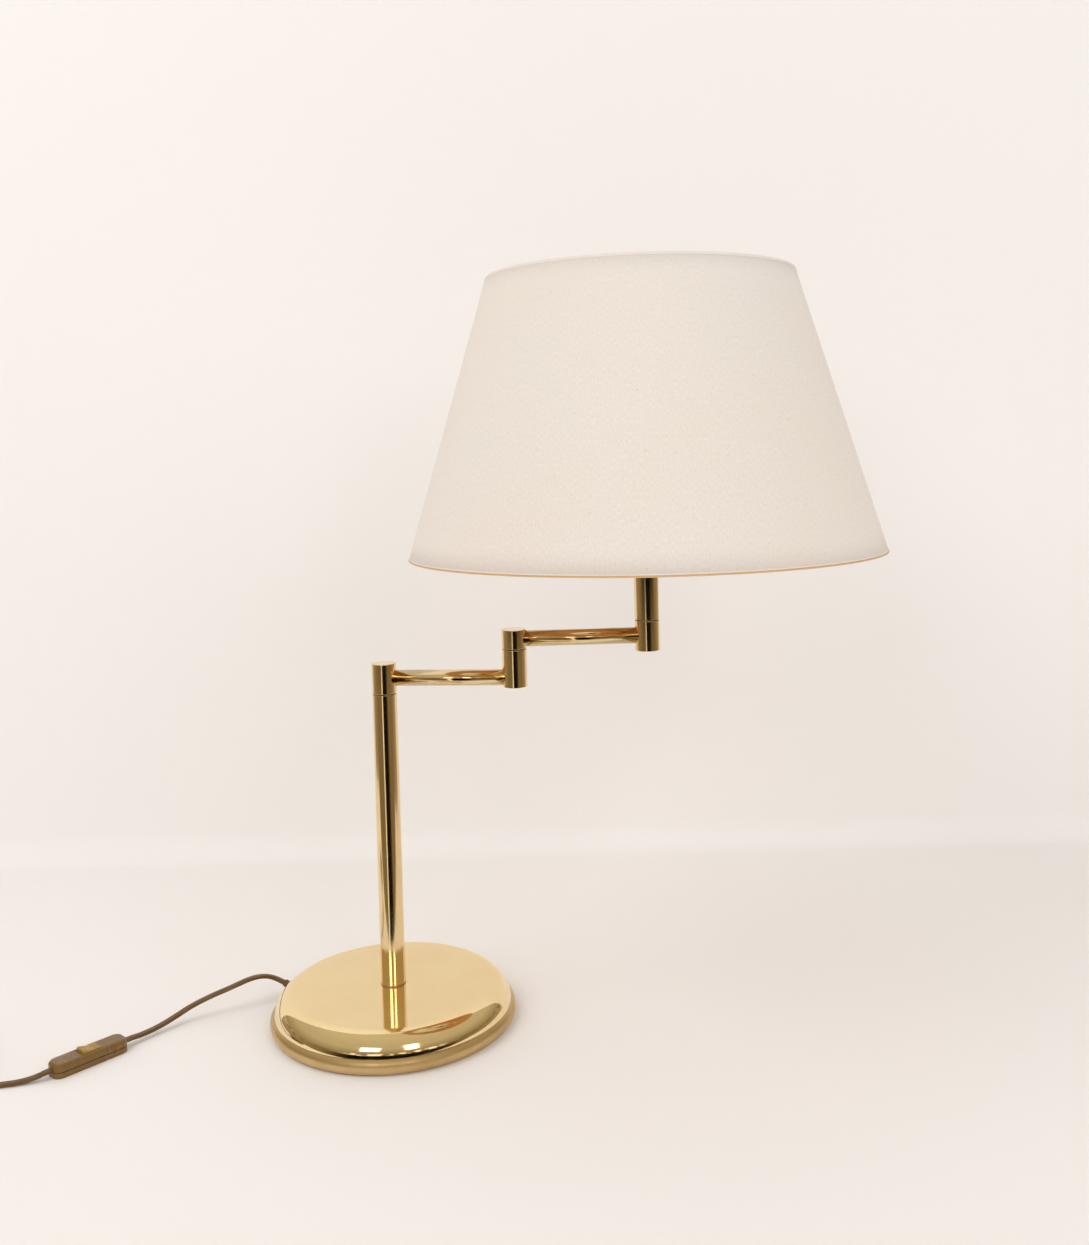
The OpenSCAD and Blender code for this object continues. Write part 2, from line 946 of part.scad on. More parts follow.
module cord_end() {
    color([0.35, 0.24, 0.12])
        flat_tube(end_route);
}

// The rest of the cord, as the closed ring that its coil fills
module cord_coil() {
    color([0.35, 0.24, 0.12])
        translate([coil_at[0], coil_at[1], coil_lift])
            rotate_extrude()
                translate([coil_in_r, 0])
                    square([coil_out_r - coil_in_r, coil_h]);
}

// A strap around the coil's turns
module cord_tie() {
    hole = [coil_out_r - coil_in_r + 0.2, tie_w + 2, coil_h + 0.2];
    color([0.1, 0.1, 0.1])
        translate([coil_at[0], coil_at[1], 0])
            rotate(tie_turn)
                translate([(coil_out_r + coil_in_r) / 2, 0, coil_h / 2 + coil_lift])
                    difference() {
                        cube([hole[0] + 2 * coil_lift, tie_w, coil_h + 2 * coil_lift],
                            center = true);
                        cube(hole, center = true);
                    }
}

// The plug's moulding, with its own tapered strain relief
module plug_body() {
    color([0.3, 0.2, 0.1])
        translate([plug_at[0], plug_at[1], plug_t / 2]) {
            rotate([-90, 0, 0])
                cylinder(h = plug_relief_l, r1 = plug_relief_thin_r, r2 = plug_relief_thick_r);
            translate([0, plug_relief_l, -plug_t / 2])
                linear_extrude(plug_t)
                    plug_outline();
        }
}

module plug_pins() {
    color([0.8, 0.78, 0.7])
        translate([plug_at[0], plug_at[1] + plug_relief_l + plug_l, plug_t / 2])
            rotate([-90, 0, 0])
                for (side = [-1, 1])
                    translate([side * plug_pin_gap / 2, 0, 0])
                        cylinder(h = plug_pin_l, r = plug_pin_r);
}

module plug_outline() {
    polygon([[-6, 0], [6, 0], [plug_w / 2 - 4, plug_l - 14], [plug_w / 2, plug_l - 8],
        [plug_w / 2, plug_l], [-plug_w / 2, plug_l], [-plug_w / 2, plug_l - 8],
        [4 - plug_w / 2, plug_l - 14]]);
}

module at_switch() {
    translate([switch_at[0], switch_at[1], 0])
        rotate(switch_turn)
            children();
}

module round_plate(l, w, r, h) {
    linear_extrude(h) {
        square([l - 2 * r, w], center = true);
        square([l, w - 2 * r], center = true);
        for (x = [-1, 1], y = [-1, 1])
            translate([x * (l / 2 - r), y * (w / 2 - r)])
                circle(r);
    }
}

module switch_base() {
    color([0.45, 0.32, 0.1])
        at_switch()
            difference() {
                round_plate(switch_l, switch_w, switch_corner_r, switch_split);
                translate([0, 0, switch_wall - 0.5])
                    round_plate(switch_l - 2 * switch_wall, switch_w - 2 * switch_wall,
                        switch_corner_r - switch_wall, switch_h);
            }
}

module switch_cover() {
    cheek = (switch_w - rocker_w - rocker_play) / 2 - switch_wall;
    color([0.5, 0.36, 0.12])
        at_switch()
            difference() {
                union() {
                    difference() {
                        translate([0, 0, switch_split])
                            round_plate(switch_l, switch_w, switch_corner_r,
                                switch_h - switch_split);
                        translate([0, 0, switch_split - 1])
                            round_plate(switch_l - 2 * switch_wall,
                                switch_w - 2 * switch_wall, switch_corner_r - switch_wall,
                                switch_h - switch_split - switch_wall + 1);
                    }
                    for (y = [-1, 1])
                        translate([0, y * (switch_w / 2 - switch_wall - cheek / 2),
                            (switch_h + switch_split) / 2 - 0.5])
                            cube([rocker_l, cheek + eps, switch_h - switch_split - 1],
                                center = true);
                }
                translate([0, 0, switch_h])
                    cube([rocker_l + 2 * rocker_play, rocker_w + rocker_play, switch_h],
                        center = true);
                translate([0, (rocker_w / 2 + axle_reach + slip), rocker_axis_z])
                    rotate([90, 0, 0])
                        cylinder(h = rocker_w + 2 * (axle_reach + slip), r = axle_r + axle_fit);
            }
}

// The rocker and its axle, as one moulding
module switch_rocker() {
    color([0.7, 0.55, 0.22])
        at_switch()
            translate([0, 0, rocker_axis_z])
                rotate([0, rocker_tilt, 0]) {
                    translate([0, rocker_w / 2, 0])
                        rotate([90, 0, 0])
                            linear_extrude(rocker_w)
                                polygon([[-rocker_l / 2, -0.5], [rocker_l / 2, -0.5],
                                    [rocker_l / 2, 5.4], [0, 4.6], [-rocker_l / 2, 5.4]]);
                    translate([0, rocker_w / 2 + axle_reach, 0])
                        rotate([90, 0, 0])
                            cylinder(h = rocker_w + 2 * axle_reach, r = axle_r);
                }
}

felt_pad();
base_plate();
plate_screws();
base_band();
base_weight();
base_cover();
base_nut();
base_nipple();
foot_washer();
post_bushes();
post_tube();
post_pivot();
post_washer();
post_nut();
cord_relief();
base_wire();
head_barrel();
head_cap();
lower_arm_tube();
elbow_barrel();
elbow_floor_cap();
elbow_pivot();
elbow_set_screw();
elbow_washer();
elbow_nut();
lower_arm_wire();
hinge_barrel();
hinge_cap();
upper_arm_tube();
end_barrel();
end_floor_cap();
end_pivot();
end_washer();
end_nut();
upper_arm_wire();
stem_bush();
stem_tube();
stem_head();
stem_nipple();
holder_cup();
holder_sleeve();
holder_insert();
holder_contacts();
shade_nut();
shade_carrier();
shade_ring_low();
shade_ring_top();
shade_panel();
bulb_cap();
bulb_glass();
switch_base();
switch_cover();
switch_rocker();
cord_lead();
cord_tail();
cord_coil();
cord_end();
cord_tie();
plug_body();
plug_pins();
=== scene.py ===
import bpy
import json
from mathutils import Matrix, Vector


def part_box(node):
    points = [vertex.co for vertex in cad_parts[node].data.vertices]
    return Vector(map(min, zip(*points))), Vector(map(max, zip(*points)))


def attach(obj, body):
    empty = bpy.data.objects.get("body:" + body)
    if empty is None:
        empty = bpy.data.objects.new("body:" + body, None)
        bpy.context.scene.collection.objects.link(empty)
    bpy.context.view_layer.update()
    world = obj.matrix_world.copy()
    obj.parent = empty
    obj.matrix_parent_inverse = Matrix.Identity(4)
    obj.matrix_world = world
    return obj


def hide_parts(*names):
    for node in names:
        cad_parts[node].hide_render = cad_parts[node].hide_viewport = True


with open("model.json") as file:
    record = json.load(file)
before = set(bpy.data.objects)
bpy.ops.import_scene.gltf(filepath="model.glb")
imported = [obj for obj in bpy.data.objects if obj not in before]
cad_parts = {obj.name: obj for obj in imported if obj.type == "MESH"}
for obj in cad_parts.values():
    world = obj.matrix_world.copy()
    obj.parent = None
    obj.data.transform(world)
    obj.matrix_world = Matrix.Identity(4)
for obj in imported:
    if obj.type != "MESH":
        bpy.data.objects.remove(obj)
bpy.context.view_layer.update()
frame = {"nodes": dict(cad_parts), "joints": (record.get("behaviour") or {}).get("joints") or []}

import json
import math
from math import cos, pi, radians, sin

import bmesh
import bpy
from mathutils import Matrix, Vector

NODES = frame["nodes"]


# ---------------------------------------------------------------- camera

EYE = Vector((0.144, -0.9975, 0.4658))
PITCH, ROLL = 2.06, 1.49
LENS, FILM = 35.47, 36.0
SHIFT_X, SHIFT_Y = -0.008755, -0.104418


def camera():
    """The viewpoint: a little above the arms, with the film shifted down."""
    data = bpy.data.cameras.new("camera")
    data.lens = LENS
    data.sensor_width = FILM
    data.shift_x = SHIFT_X
    data.shift_y = SHIFT_Y
    data.clip_start = 0.02
    obj = bpy.data.objects.new("camera", data)
    bpy.context.scene.collection.objects.link(obj)
    turn = Matrix.Rotation(radians(90 - PITCH), 4, "X") @ Matrix.Rotation(radians(-ROLL), 4, "Z")
    obj.matrix_world = Matrix.Translation(EYE) @ turn
    bpy.context.scene.camera = obj


camera()


# ---------------------------------------------------------------- making pieces

def add(name, mesh, body, material, replaces=()):
    """Puts a finished mesh in the scene, on its body."""
    obj = bpy.data.objects.new(name, mesh)
    bpy.context.scene.collection.objects.link(obj)
    mesh.materials.append(material)
    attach(obj, body)
    if replaces:
        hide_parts(*replaces)
    return obj


def to_mesh(bm, name, smooth=35):
    """A bmesh as a mesh, smooth but for its edges sharper than an angle."""
    bmesh.ops.remove_doubles(bm, verts=bm.verts, dist=1e-6)
    bmesh.ops.recalc_face_normals(bm, faces=bm.faces)
    for face in bm.faces:
        face.smooth = True
    for edge in bm.edges:
        if len(edge.link_faces) == 2:
            edge.smooth = edge.calc_face_angle() < radians(smooth)
    mesh = bpy.data.meshes.new(name)
    bm.to_mesh(mesh)
    bm.free()
    return mesh


def soften(obj, width, segments=3, angle=35):
    """Rounds a piece's sharp edges, and keeps its flat faces flat."""
    bevel = obj.modifiers.new("edges", "BEVEL")
    bevel.width = width
    bevel.segments = segments
    bevel.limit_method = "ANGLE"
    bevel.angle_limit = radians(angle)
    normals = obj.modifiers.new("normals", "WEIGHTED_NORMAL")
    normals.keep_sharp = False
    return obj


def thicken(obj, wall, offset=-1):
    """Gives a sheet its wall, on its inside unless the offset says otherwise."""
    sheet = obj.modifiers.new("wall", "SOLIDIFY")
    sheet.thickness = wall
    sheet.offset = offset
    return obj


def join_up(bm, verts, closed=True):
    """Edges from each vertex to the next, and back to the first if closed."""
    ends = verts[1:] + verts[:1] if closed else verts[1:]
    return [bm.edges.new(pair) for pair in zip(verts, ends)]


def outline(bm, points, closed):
    """Edges through (radius, height) points in the X-Z plane."""
    verts = [bm.verts.new((r, 0, z)) for r, z in points]
    return verts + join_up(bm, verts, closed)


def pull(bm, raised, vec):
    """Moves the new end of an extrusion, and returns that end's vertices."""
    end = [part for part in raised["geom"] if isinstance(part, bmesh.types.BMVert)]
    bmesh.ops.translate(bm, vec=vec, verts=end)
    return end


def oblong(bm, half_l, half_w, z):
    """The four corners of a level rectangle round the middle."""
    return [bm.verts.new((x, y, z)) for x, y in
            ((-half_l, -half_w), (half_l, -half_w), (half_l, half_w), (-half_l, half_w))]


def wrap_map(bm, around, up):
    """A UV map in metres for a round piece: round it at one radius, and up it."""
    layer = bm.loops.layers.uv.new("metres")
    for face in bm.faces:
        middle = face.calc_center_median()
        middle_turn = math.atan2(middle.y, middle.x)
        for loop in face.loops:
            turn = math.atan2(loop.vert.co.y, loop.vert.co.x)
            turn += 2 * pi * round((middle_turn - turn) / (2 * pi))
            loop[layer].uv = (turn * around, up(loop.vert.co.z))


def lathe(points, closed=True, steps=96):
    """A bmesh turned from an outline about the Z axis."""
    bm = bmesh.new()
    geom = outline(bm, points, closed)
    bmesh.ops.spin(bm, geom=geom, cent=(0, 0, 0), axis=(0, 0, 1), dvec=(0, 0, 0),
                   angle=2 * pi, steps=steps, use_merge=True)
    bmesh.ops.remove_doubles(bm, verts=bm.verts, dist=1e-6)
    return bm


def turned(name, points, body, material, at=(0, 0), closed=True, steps=96, edge=0.0,
           replaces=(), place=None):
    """A piece turned on a lathe and stood on its axis, or put at a matrix."""
    bm = lathe(points, closed, steps)
    where = place or Matrix.Translation((at[0], at[1], 0))
    bmesh.ops.transform(bm, matrix=where, verts=bm.verts)
    obj = add(name, to_mesh(bm, name), body, material, replaces)
    if edge:
        soften(obj, edge)
    return obj


def arc(x, z, r, start, end, steps):
    """(radius, height) points along an arc, in degrees."""
    turns = [radians(start + (end - start) * i / steps) for i in range(steps + 1)]
    return [(x + r * cos(t), z + r * sin(t)) for t in turns]


def sleeve(inner, outer, low, high):
    """A plain tube's outline, or a disc's where the inner radius is 0."""
    return [(inner, low), (outer, low), (outer, high), (inner, high)]


def tube_box(node):
    """An upright round node: its axis, its lowest and highest z and its radius."""
    low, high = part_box(node)
    middle = (low + high) / 2
    return (middle.x, middle.y), low.z, high.z, (high.x - low.x) / 2


# ---------------------------------------------------------------- shader groups

class Graph:
    """Short ways to add and join nodes in one tree."""

    def __init__(self, tree):
        self.tree = tree

    def node(self, kind, **values):
        new = self.tree.nodes.new("ShaderNode" + kind)
        for key, value in values.items():
            setattr(new, key, value)
        return new

    def link(self, source, target):
        self.tree.links.new(source, target)

    def put(self, socket, value):
        """Joins an input to another node's output, or sets it."""
        if isinstance(value, bpy.types.NodeSocket):
            self.link(value, socket)
        else:
            socket.default_value = value if socket.type != "RGBA" else rgba(value)

    def feed(self, node, **inputs):
        """Sets or joins a node's inputs by name."""
        for key, value in inputs.items():
            self.put(node.inputs[key.replace("_", " ")], value)
        return node

    def math(self, operation, *values):
        new = self.node("Math", operation=operation)
        for socket, value in zip(new.inputs, values):
            self.put(socket, value)
        return new.outputs[0]

    def scaled(self, vector, scale):
        """A vector scaled along each axis, for a stretched pattern."""
        mapping = self.node("Mapping")
        self.link(vector, mapping.inputs["Vector"])
        mapping.inputs["Scale"].default_value = scale
        return mapping.outputs["Vector"]

    def noise(self, vector, scale, detail=3.0, roughness=0.5):
        new = self.node("TexNoise")
        self.feed(new, Vector=vector, Scale=scale, Detail=detail, Roughness=roughness)
        return new.outputs["Fac"]

    def spread(self, value, low, high, to_low=0.0, to_high=1.0):
        """Maps low..high to to_low..to_high, and holds it there."""
        new = self.node("MapRange")
        self.feed(new, Value=value, From_Min=low, From_Max=high, To_Min=to_low, To_Max=to_high)
        return new.outputs["Result"]

    def mix(self, amount, first, second):
        """Two colours mixed by an amount."""
        new = self.node("Mix", data_type="RGBA")
        for index, value in ((0, amount), (6, first), (7, second)):
            self.put(new.inputs[index], value)
        return new.outputs[2]


def rgba(colour):
    return (*colour[:3], 1.0)


def group(name, inputs, outputs, build):
    """A shader node group with named sockets, filled in by build."""
    tree = bpy.data.node_groups.new(name, "ShaderNodeTree")
    for label, kind, value in inputs:
        socket = tree.interface.new_socket(name=label, in_out="INPUT", socket_type=kind)
        if value is not None:
            socket.default_value = value
    for label, kind in outputs:
        tree.interface.new_socket(name=label, in_out="OUTPUT", socket_type=kind)
    build(Graph(tree), tree.nodes.new("NodeGroupInput"), tree.nodes.new("NodeGroupOutput"))
    return tree


FLOAT, VECTOR = "NodeSocketFloat", "NodeSocketVector"


def build_handling(g, inside, out):
    """Marks of use: broad clouds, fine hairlines and rare small pits."""
    vector = inside.outputs["Vector"]
    cloud = g.noise(vector, 28.0, 4.0, 0.55)
    hair = g.noise(inside.outputs["Hairs"], 1.0, 2.0, 0.6)
    pits = g.node("TexVoronoi", feature="F1")
    g.feed(pits, Vector=vector, Scale=inside.outputs["Pit scale"])
    dots = g.spread(pits.outputs["Distance"], 0.02, 0.07, 1.0, 0.0)
    rare = g.spread(pits.outputs["Color"], 0.78, 0.8)
    g.feed(out, Cloud=g.spread(cloud, 0.35, 0.7), Hairlines=g.spread(hair, 0.3, 0.7),
           Pits=g.math("MULTIPLY", dots, rare))


HANDLING = group("handling marks", [("Vector", VECTOR, None), ("Hairs", VECTOR, None),
                                    ("Pit scale", FLOAT, 60.0)],
                 [("Cloud", FLOAT), ("Hairlines", FLOAT), ("Pits", FLOAT)], build_handling)


def build_weave(g, inside, out):
    """Plain cloth in metres: uneven upright slub threads over fine cross threads."""
    vector = inside.outputs["Vector"]
    slub = g.noise(g.scaled(vector, (950.0, 380.0, 1.0)), 1.0, 3.0, 0.6)
    cross = g.noise(g.scaled(vector, (420.0, 1500.0, 1.0)), 1.0, 2.0, 0.5)
    threads = g.node("TexWave", wave_type="BANDS", bands_direction="X")
    g.feed(threads, Vector=vector, Scale=inside.outputs["Threads"], Distortion=3.0,
           Detail=2.0, Detail_Scale=0.6)
    fine = g.math("MULTIPLY", threads.outputs["Fac"], 0.35)
    height = g.math("ADD", g.math("MULTIPLY_ADD", cross, 0.4, fine), slub)
    g.feed(out, Height=height, Slub=g.spread(slub, 0.36, 0.66),
           Cloud=g.spread(g.noise(vector, 7.0, 3.0), 0.3, 0.7))


WEAVE = group("weave", [("Vector", VECTOR, None), ("Threads", FLOAT, 120.0)],
              [("Height", FLOAT), ("Slub", FLOAT), ("Cloud", FLOAT)], build_weave)


def build_moulded(g, inside, out):
    """The faint orange peel and dust of a moulded surface."""
    vector = inside.outputs["Vector"]
    peel = g.noise(vector, 700.0, 2.0)
    dust = g.noise(vector, 160.0, 5.0, 0.7)
    g.feed(out, Height=peel, Dust=g.spread(dust, 0.55, 0.75))


MOULDED = group("moulded skin", [("Vector", VECTOR, None)],
                [("Height", FLOAT), ("Dust", FLOAT)], build_moulded)


# ---------------------------------------------------------------- materials

def shader(name, **values):
    """A new material with its principled shader, and a graph to add to."""
    material = bpy.data.materials.new(name)
    material.use_nodes = True
    g = Graph(material.node_tree)
    principled = material.node_tree.nodes["Principled BSDF"]
    for key, value in values.items():
        principled.inputs[key.replace("_", " ")].default_value = value
    return material, g, principled


def use(g, tree, vector, **inputs):
    """A shader group in a material, and its outputs."""
    new = g.node("Group", node_tree=tree)
    g.link(vector, new.inputs["Vector"])
    g.feed(new, **inputs)
    return new.outputs


def object_coordinates(g):
    return g.node("TexCoord").outputs["Object"]


def bump(g, principled, height, strength, distance):
    new = g.node("Bump")
    g.feed(new, Height=height, Strength=strength, Distance=distance)
    g.link(new.outputs["Normal"], principled.inputs["Normal"])


ALONG = (900.0, 900.0, 60.0)
ROUND = (45.0, 45.0, 1800.0)


def brass(name, colour, dull, roughness, hairline=0.0, bump_by=0.02, pits=0.0, hairs=ALONG):
    """Brass: its colour, its duller colour in clouds, its polish and its rubbing marks."""
    material, g, principled = shader(name, Metallic=1.0)
    vector = object_coordinates(g)
    marks = use(g, HANDLING, vector, Hairs=g.scaled(vector, hairs))
    tint = g.mix(g.math("MULTIPLY", marks["Cloud"], 0.6), colour, dull)
    tint = g.mix(g.math("MULTIPLY", marks["Pits"], pits), tint, (0.16, 0.09, 0.03))
    base = g.spread(marks["Cloud"], 0.0, 1.0, *roughness)
    rough = g.math("MULTIPLY_ADD", marks["Hairlines"], hairline, base)
    rough = g.math("MULTIPLY_ADD", marks["Pits"], 0.4 * pits, rough)
    g.feed(principled, Base_Color=tint, Roughness=rough)
    bump(g, principled, marks["Hairlines"], bump_by, 0.00002)
    return material


def plastic(name, colour, dusty, roughness, height=0.1, coat=0.0):
    """Moulded plastic with a faint skin and a little dust."""
    material, g, principled = shader(name, IOR=1.5, Coat_Weight=coat, Coat_Roughness=0.05)
    skin = use(g, MOULDED, object_coordinates(g))
    g.feed(principled, Base_Color=g.mix(g.math("MULTIPLY", skin["Dust"], 0.35), colour, dusty),
           Roughness=g.spread(skin["Dust"], 0.0, 1.0, roughness, roughness + 0.2))
    bump(g, principled, skin["Height"], height, 0.00003)
    return material


def plain_metal(name, colour, roughness):
    """Plated or bare metal, with faint clouds and hairlines."""
    return brass(name, colour, [0.85 * c for c in colour], (roughness, roughness + 0.1), 0.08)


def shade_cloth(name, colour, warm):
    """Off-white slub cloth, in the piece's own UV map, in metres."""
    material, g, principled = shader(name, Roughness=0.9, Sheen_Weight=0.15,
                                     Sheen_Roughness=0.5)
    vector = g.node("UVMap", uv_map="metres").outputs["UV"]
    cloth = use(g, WEAVE, vector)
    tint = g.mix(g.math("MULTIPLY", cloth["Cloud"], 0.6), colour, warm)
    tint = g.mix(g.math("MULTIPLY", cloth["Slub"], 0.28), tint, (0.98, 0.94, 0.88))
    fleck = g.spread(g.noise(g.scaled(vector, (260.0, 420.0, 1.0)), 1.0, 1.0), 0.74, 0.8)
    tint = g.mix(g.math("MULTIPLY", fleck, 0.35), tint, (0.52, 0.4, 0.28))
    g.feed(principled, Base_Color=tint)
    bump(g, principled, cloth["Height"], 0.3, 0.0002)
    return material


def felt(name, colour):
    """Pressed wool, darker between its fibres."""
    material, g, principled = shader(name, Roughness=1.0, Sheen_Weight=0.4)
    fibres = g.noise(object_coordinates(g), 900.0, 4.0, 0.7)
    g.feed(principled, Base_Color=g.mix(fibres, [0.6 * c for c in colour], colour))
    bump(g, principled, fibres, 0.6, 0.0004)
    return material


def cord_skin(name, colour, light):
    """Ribbed flexible plastic: fine ribs run along it, by the piece's own UV map."""
    material, g, principled = shader(name, IOR=1.4)
    vector = g.node("UVMap", uv_map="metres").outputs["UV"]
    ribs = g.node("TexWave", wave_type="BANDS", bands_direction="X")
    g.feed(ribs, Vector=vector, Scale=260.0)
    scuffs = g.noise(g.scaled(vector, (400.0, 60.0, 1.0)), 1.0, 3.0)
    g.feed(principled, Base_Color=g.mix(g.spread(scuffs, 0.4, 0.8), colour, light),
           Roughness=g.spread(scuffs, 0.35, 0.7, 0.28, 0.45))
    bump(g, principled, ribs.outputs["Fac"], 0.4, 0.0001)
    return material


def strap_cloth(name, colour):
    """A coarse woven strap, in small checks."""
    material, g, principled = shader(name, Roughness=0.8, Sheen_Weight=0.3)
    vector = object_coordinates(g)
    checks = g.node("TexBrick")
    g.feed(checks, Vector=vector, Scale=600.0, Color1=colour, Color2=(0.1, 0.1, 0.1),
           Mortar=(0.0, 0.0, 0.0))
    g.feed(principled, Base_Color=checks.outputs["Color"])
    bump(g, principled, checks.outputs["Fac"], 0.5, 0.0001)
    return material


def opal_glass(name):
    """Glass with a white inner coat."""
    material, g, principled = shader(name, IOR=1.5, Coat_Weight=0.6, Coat_Roughness=0.05,
                                     Subsurface_Weight=0.4)
    principled.inputs["Subsurface Radius"].default_value = (0.01, 0.01, 0.01)
    coat = g.noise(object_coordinates(g), 60.0, 3.0)
    g.feed(principled, Base_Color=g.mix(coat, (0.86, 0.85, 0.82), (0.93, 0.92, 0.9)),
           Roughness=g.spread(coat, 0.3, 0.7, 0.12, 0.2))
    return material


BRASS = (0.96, 0.78, 0.45)
BRASS_DULL = (0.92, 0.72, 0.39)
polished_brass = brass("polished brass", BRASS, BRASS_DULL, (0.045, 0.09), 0.02, 0.015, 0.8)
tube_brass = brass("tube brass", (0.88, 0.69, 0.39), (0.78, 0.58, 0.3), (0.07, 0.14), 0.05, 0.05,
                   0.5)
satin_brass = brass("satin brass", (0.70, 0.51, 0.25), (0.56, 0.39, 0.17), (0.3, 0.44), 0.14, 0.25,
                    1.0, ROUND)
contact_brass = brass("nickelled brass", (0.82, 0.74, 0.56), (0.7, 0.6, 0.42), (0.18, 0.28), 0.05)
zinc_steel = plain_metal("zinc plated steel", (0.62, 0.62, 0.6), 0.3)
dark_steel = plain_metal("blackened steel", (0.2, 0.16, 0.11), 0.4)
cast_iron = plain_metal("cast iron", (0.16, 0.16, 0.17), 0.6)
aluminium = plain_metal("aluminium", (0.86, 0.86, 0.87), 0.28)
white_paint = plastic("white enamel", (0.84, 0.81, 0.75), (0.6, 0.55, 0.48), 0.3, 0.15)
black_plastic = plastic("black phenolic", (0.018, 0.016, 0.015), (0.12, 0.11, 0.1), 0.22)
porcelain = plastic("glazed porcelain", (0.86, 0.84, 0.79), (0.6, 0.56, 0.5), 0.12, 0.05, 0.5)
nylon = plastic("dark nylon", (0.03, 0.024, 0.018), (0.1, 0.08, 0.06), 0.4)
brown_plastic = plastic("brown plastic", (0.185, 0.095, 0.02), (0.26, 0.15, 0.05), 0.24, 0.08)
gold_plastic = plastic("gold plastic", (0.38, 0.23, 0.045), (0.45, 0.3, 0.09), 0.24, 0.08)
shade_fabric = shade_cloth("shade cloth", (0.78, 0.71, 0.645), (0.79, 0.69, 0.60))
# The lining's dark orange-brown is painted shade: it stands for the unlit inside of the shade, as the
# brass mirrors it.
lining_painted_shade = plastic("lining painted shade", (0.64, 0.37, 0.14), (0.55, 0.30, 0.11), 0.55)
green_felt = felt("green felt", (0.03, 0.075, 0.045))
brown_cord = cord_skin("brown cord", (0.12, 0.06, 0.017), (0.23, 0.13, 0.05))
black_strap = strap_cloth("black strap", (0.02, 0.02, 0.02))
bulb_opal = opal_glass("opal glass")


# ---------------------------------------------------------------- cord

# The cord's route as it lies on the table: x, y, z and roll, in metres and degrees
LEAD_ROUTE = [
    (-0.1000, 0.0430, 0.0125, 0), (-0.1075, 0.0425, 0.0165, 0), (-0.1140, 0.0400, 0.0195, 0),
    (-0.1205, 0.0350, 0.0215, 0), (-0.1270, 0.0280, 0.0223, 0), (-0.1340, 0.0215, 0.0215, 0),
    (-0.1420, 0.0170, 0.0195, 0), (-0.1515, 0.0130, 0.0170, 0), (-0.1610, 0.0090, 0.0140, 0),
    (-0.1700, 0.0035, 0.0110, 0), (-0.1780, -0.0040, 0.0080, 0), (-0.1850, -0.0120, 0.0060, 0),
    (-0.1920, -0.0205, 0.0048, 0), (-0.1995, -0.0300, 0.0048, 0), (-0.2089, -0.0407, 0.0055, 0)]
TAIL_ROUTE = [
    (-0.2491, -0.0853, 0.0055, 0), (-0.2545, -0.0895, 0.0045, 0), (-0.2620, -0.0930, 0.0030, 0),
    (-0.2710, -0.0955, 0.0020, 0), (-0.2805, -0.0975, 0.0018, 0), (-0.2900, -0.0993, 0.0018, 0),
    (-0.3000, -0.1010, 0.0018, 0), (-0.3095, -0.1025, 0.0024, 30), (-0.3180, -0.1043, 0.0032, 60),
    (-0.3260, -0.1067, 0.0036, 90)]
END_ROUTE = [
    (-0.3873, -0.0660, 0.0094, 90), (-0.3875, -0.0590, 0.0084, 60), (-0.3877, -0.0520, 0.0070, 20)]
CORD_W = 0.0056
CORD_T = 0.0032
COIL_OUT = 0.0365
COIL_IN = 0.0263
COIL_TOP_OUT = 0.0373
COIL_LOW_Z = 0.0036
COIL_TOP_Z = 0.0094
COIL_START = -73
COIL_FLAT_TURNS = 3
COIL_TURNS = 7 + 107 / 360
COIL_STEPS = 40


def smooth_step(t):
    t = min(max(t, 0.0), 1.0)
    return t * t * (3 - 2 * t)


def coil_points(middle):
    """The coil, wound inwards on the table and then outwards on top of itself."""
    points = []
    count = round(COIL_TURNS * COIL_STEPS)
    for i in range(count + 1):
        turn = COIL_TURNS * i / count
        angle = radians(COIL_START - 360 * turn)
        inwards = min(turn / COIL_FLAT_TURNS, 1.0)
        outwards = max(turn - COIL_FLAT_TURNS - 1, 0.0) / (COIL_TURNS - COIL_FLAT_TURNS - 1)
        r = COIL_OUT + (COIL_IN - COIL_OUT) * inwards + (COIL_TOP_OUT - COIL_IN) * outwards
        z = COIL_LOW_Z + (COIL_TOP_Z - COIL_LOW_Z) * smooth_step(turn - COIL_FLAT_TURNS)
        points.append((middle.x + r * cos(angle), middle.y + r * sin(angle), z, 90))
    return points


def eased(points, per_span):
    """A smooth curve through points, by the four nearest of them."""
    points = [Vector(p) for p in points]
    points = [2 * points[0] - points[1]] + points + [2 * points[-1] - points[-2]]
    made = []
    for before, start, end, after in zip(points, points[1:], points[2:], points[3:]):
        for i in range(per_span):
            t = i / per_span
            made.append(0.5 * (2 * start + (end - before) * t
                               + (2 * before - 5 * start + 4 * end - after) * t ** 2
                               + (3 * start - before - 3 * end + after) * t ** 3))
    return made + [points[-2]]


def cord_section():
    """Half-round lobes for the two cores, with a groove between them."""
    lobe = CORD_T / 2
    offset = CORD_W / 2 - lobe
    right = arc(offset, 0, lobe, -118, 118, 10)
    left = [(-x, -y) for x, y in right]
    return right + left


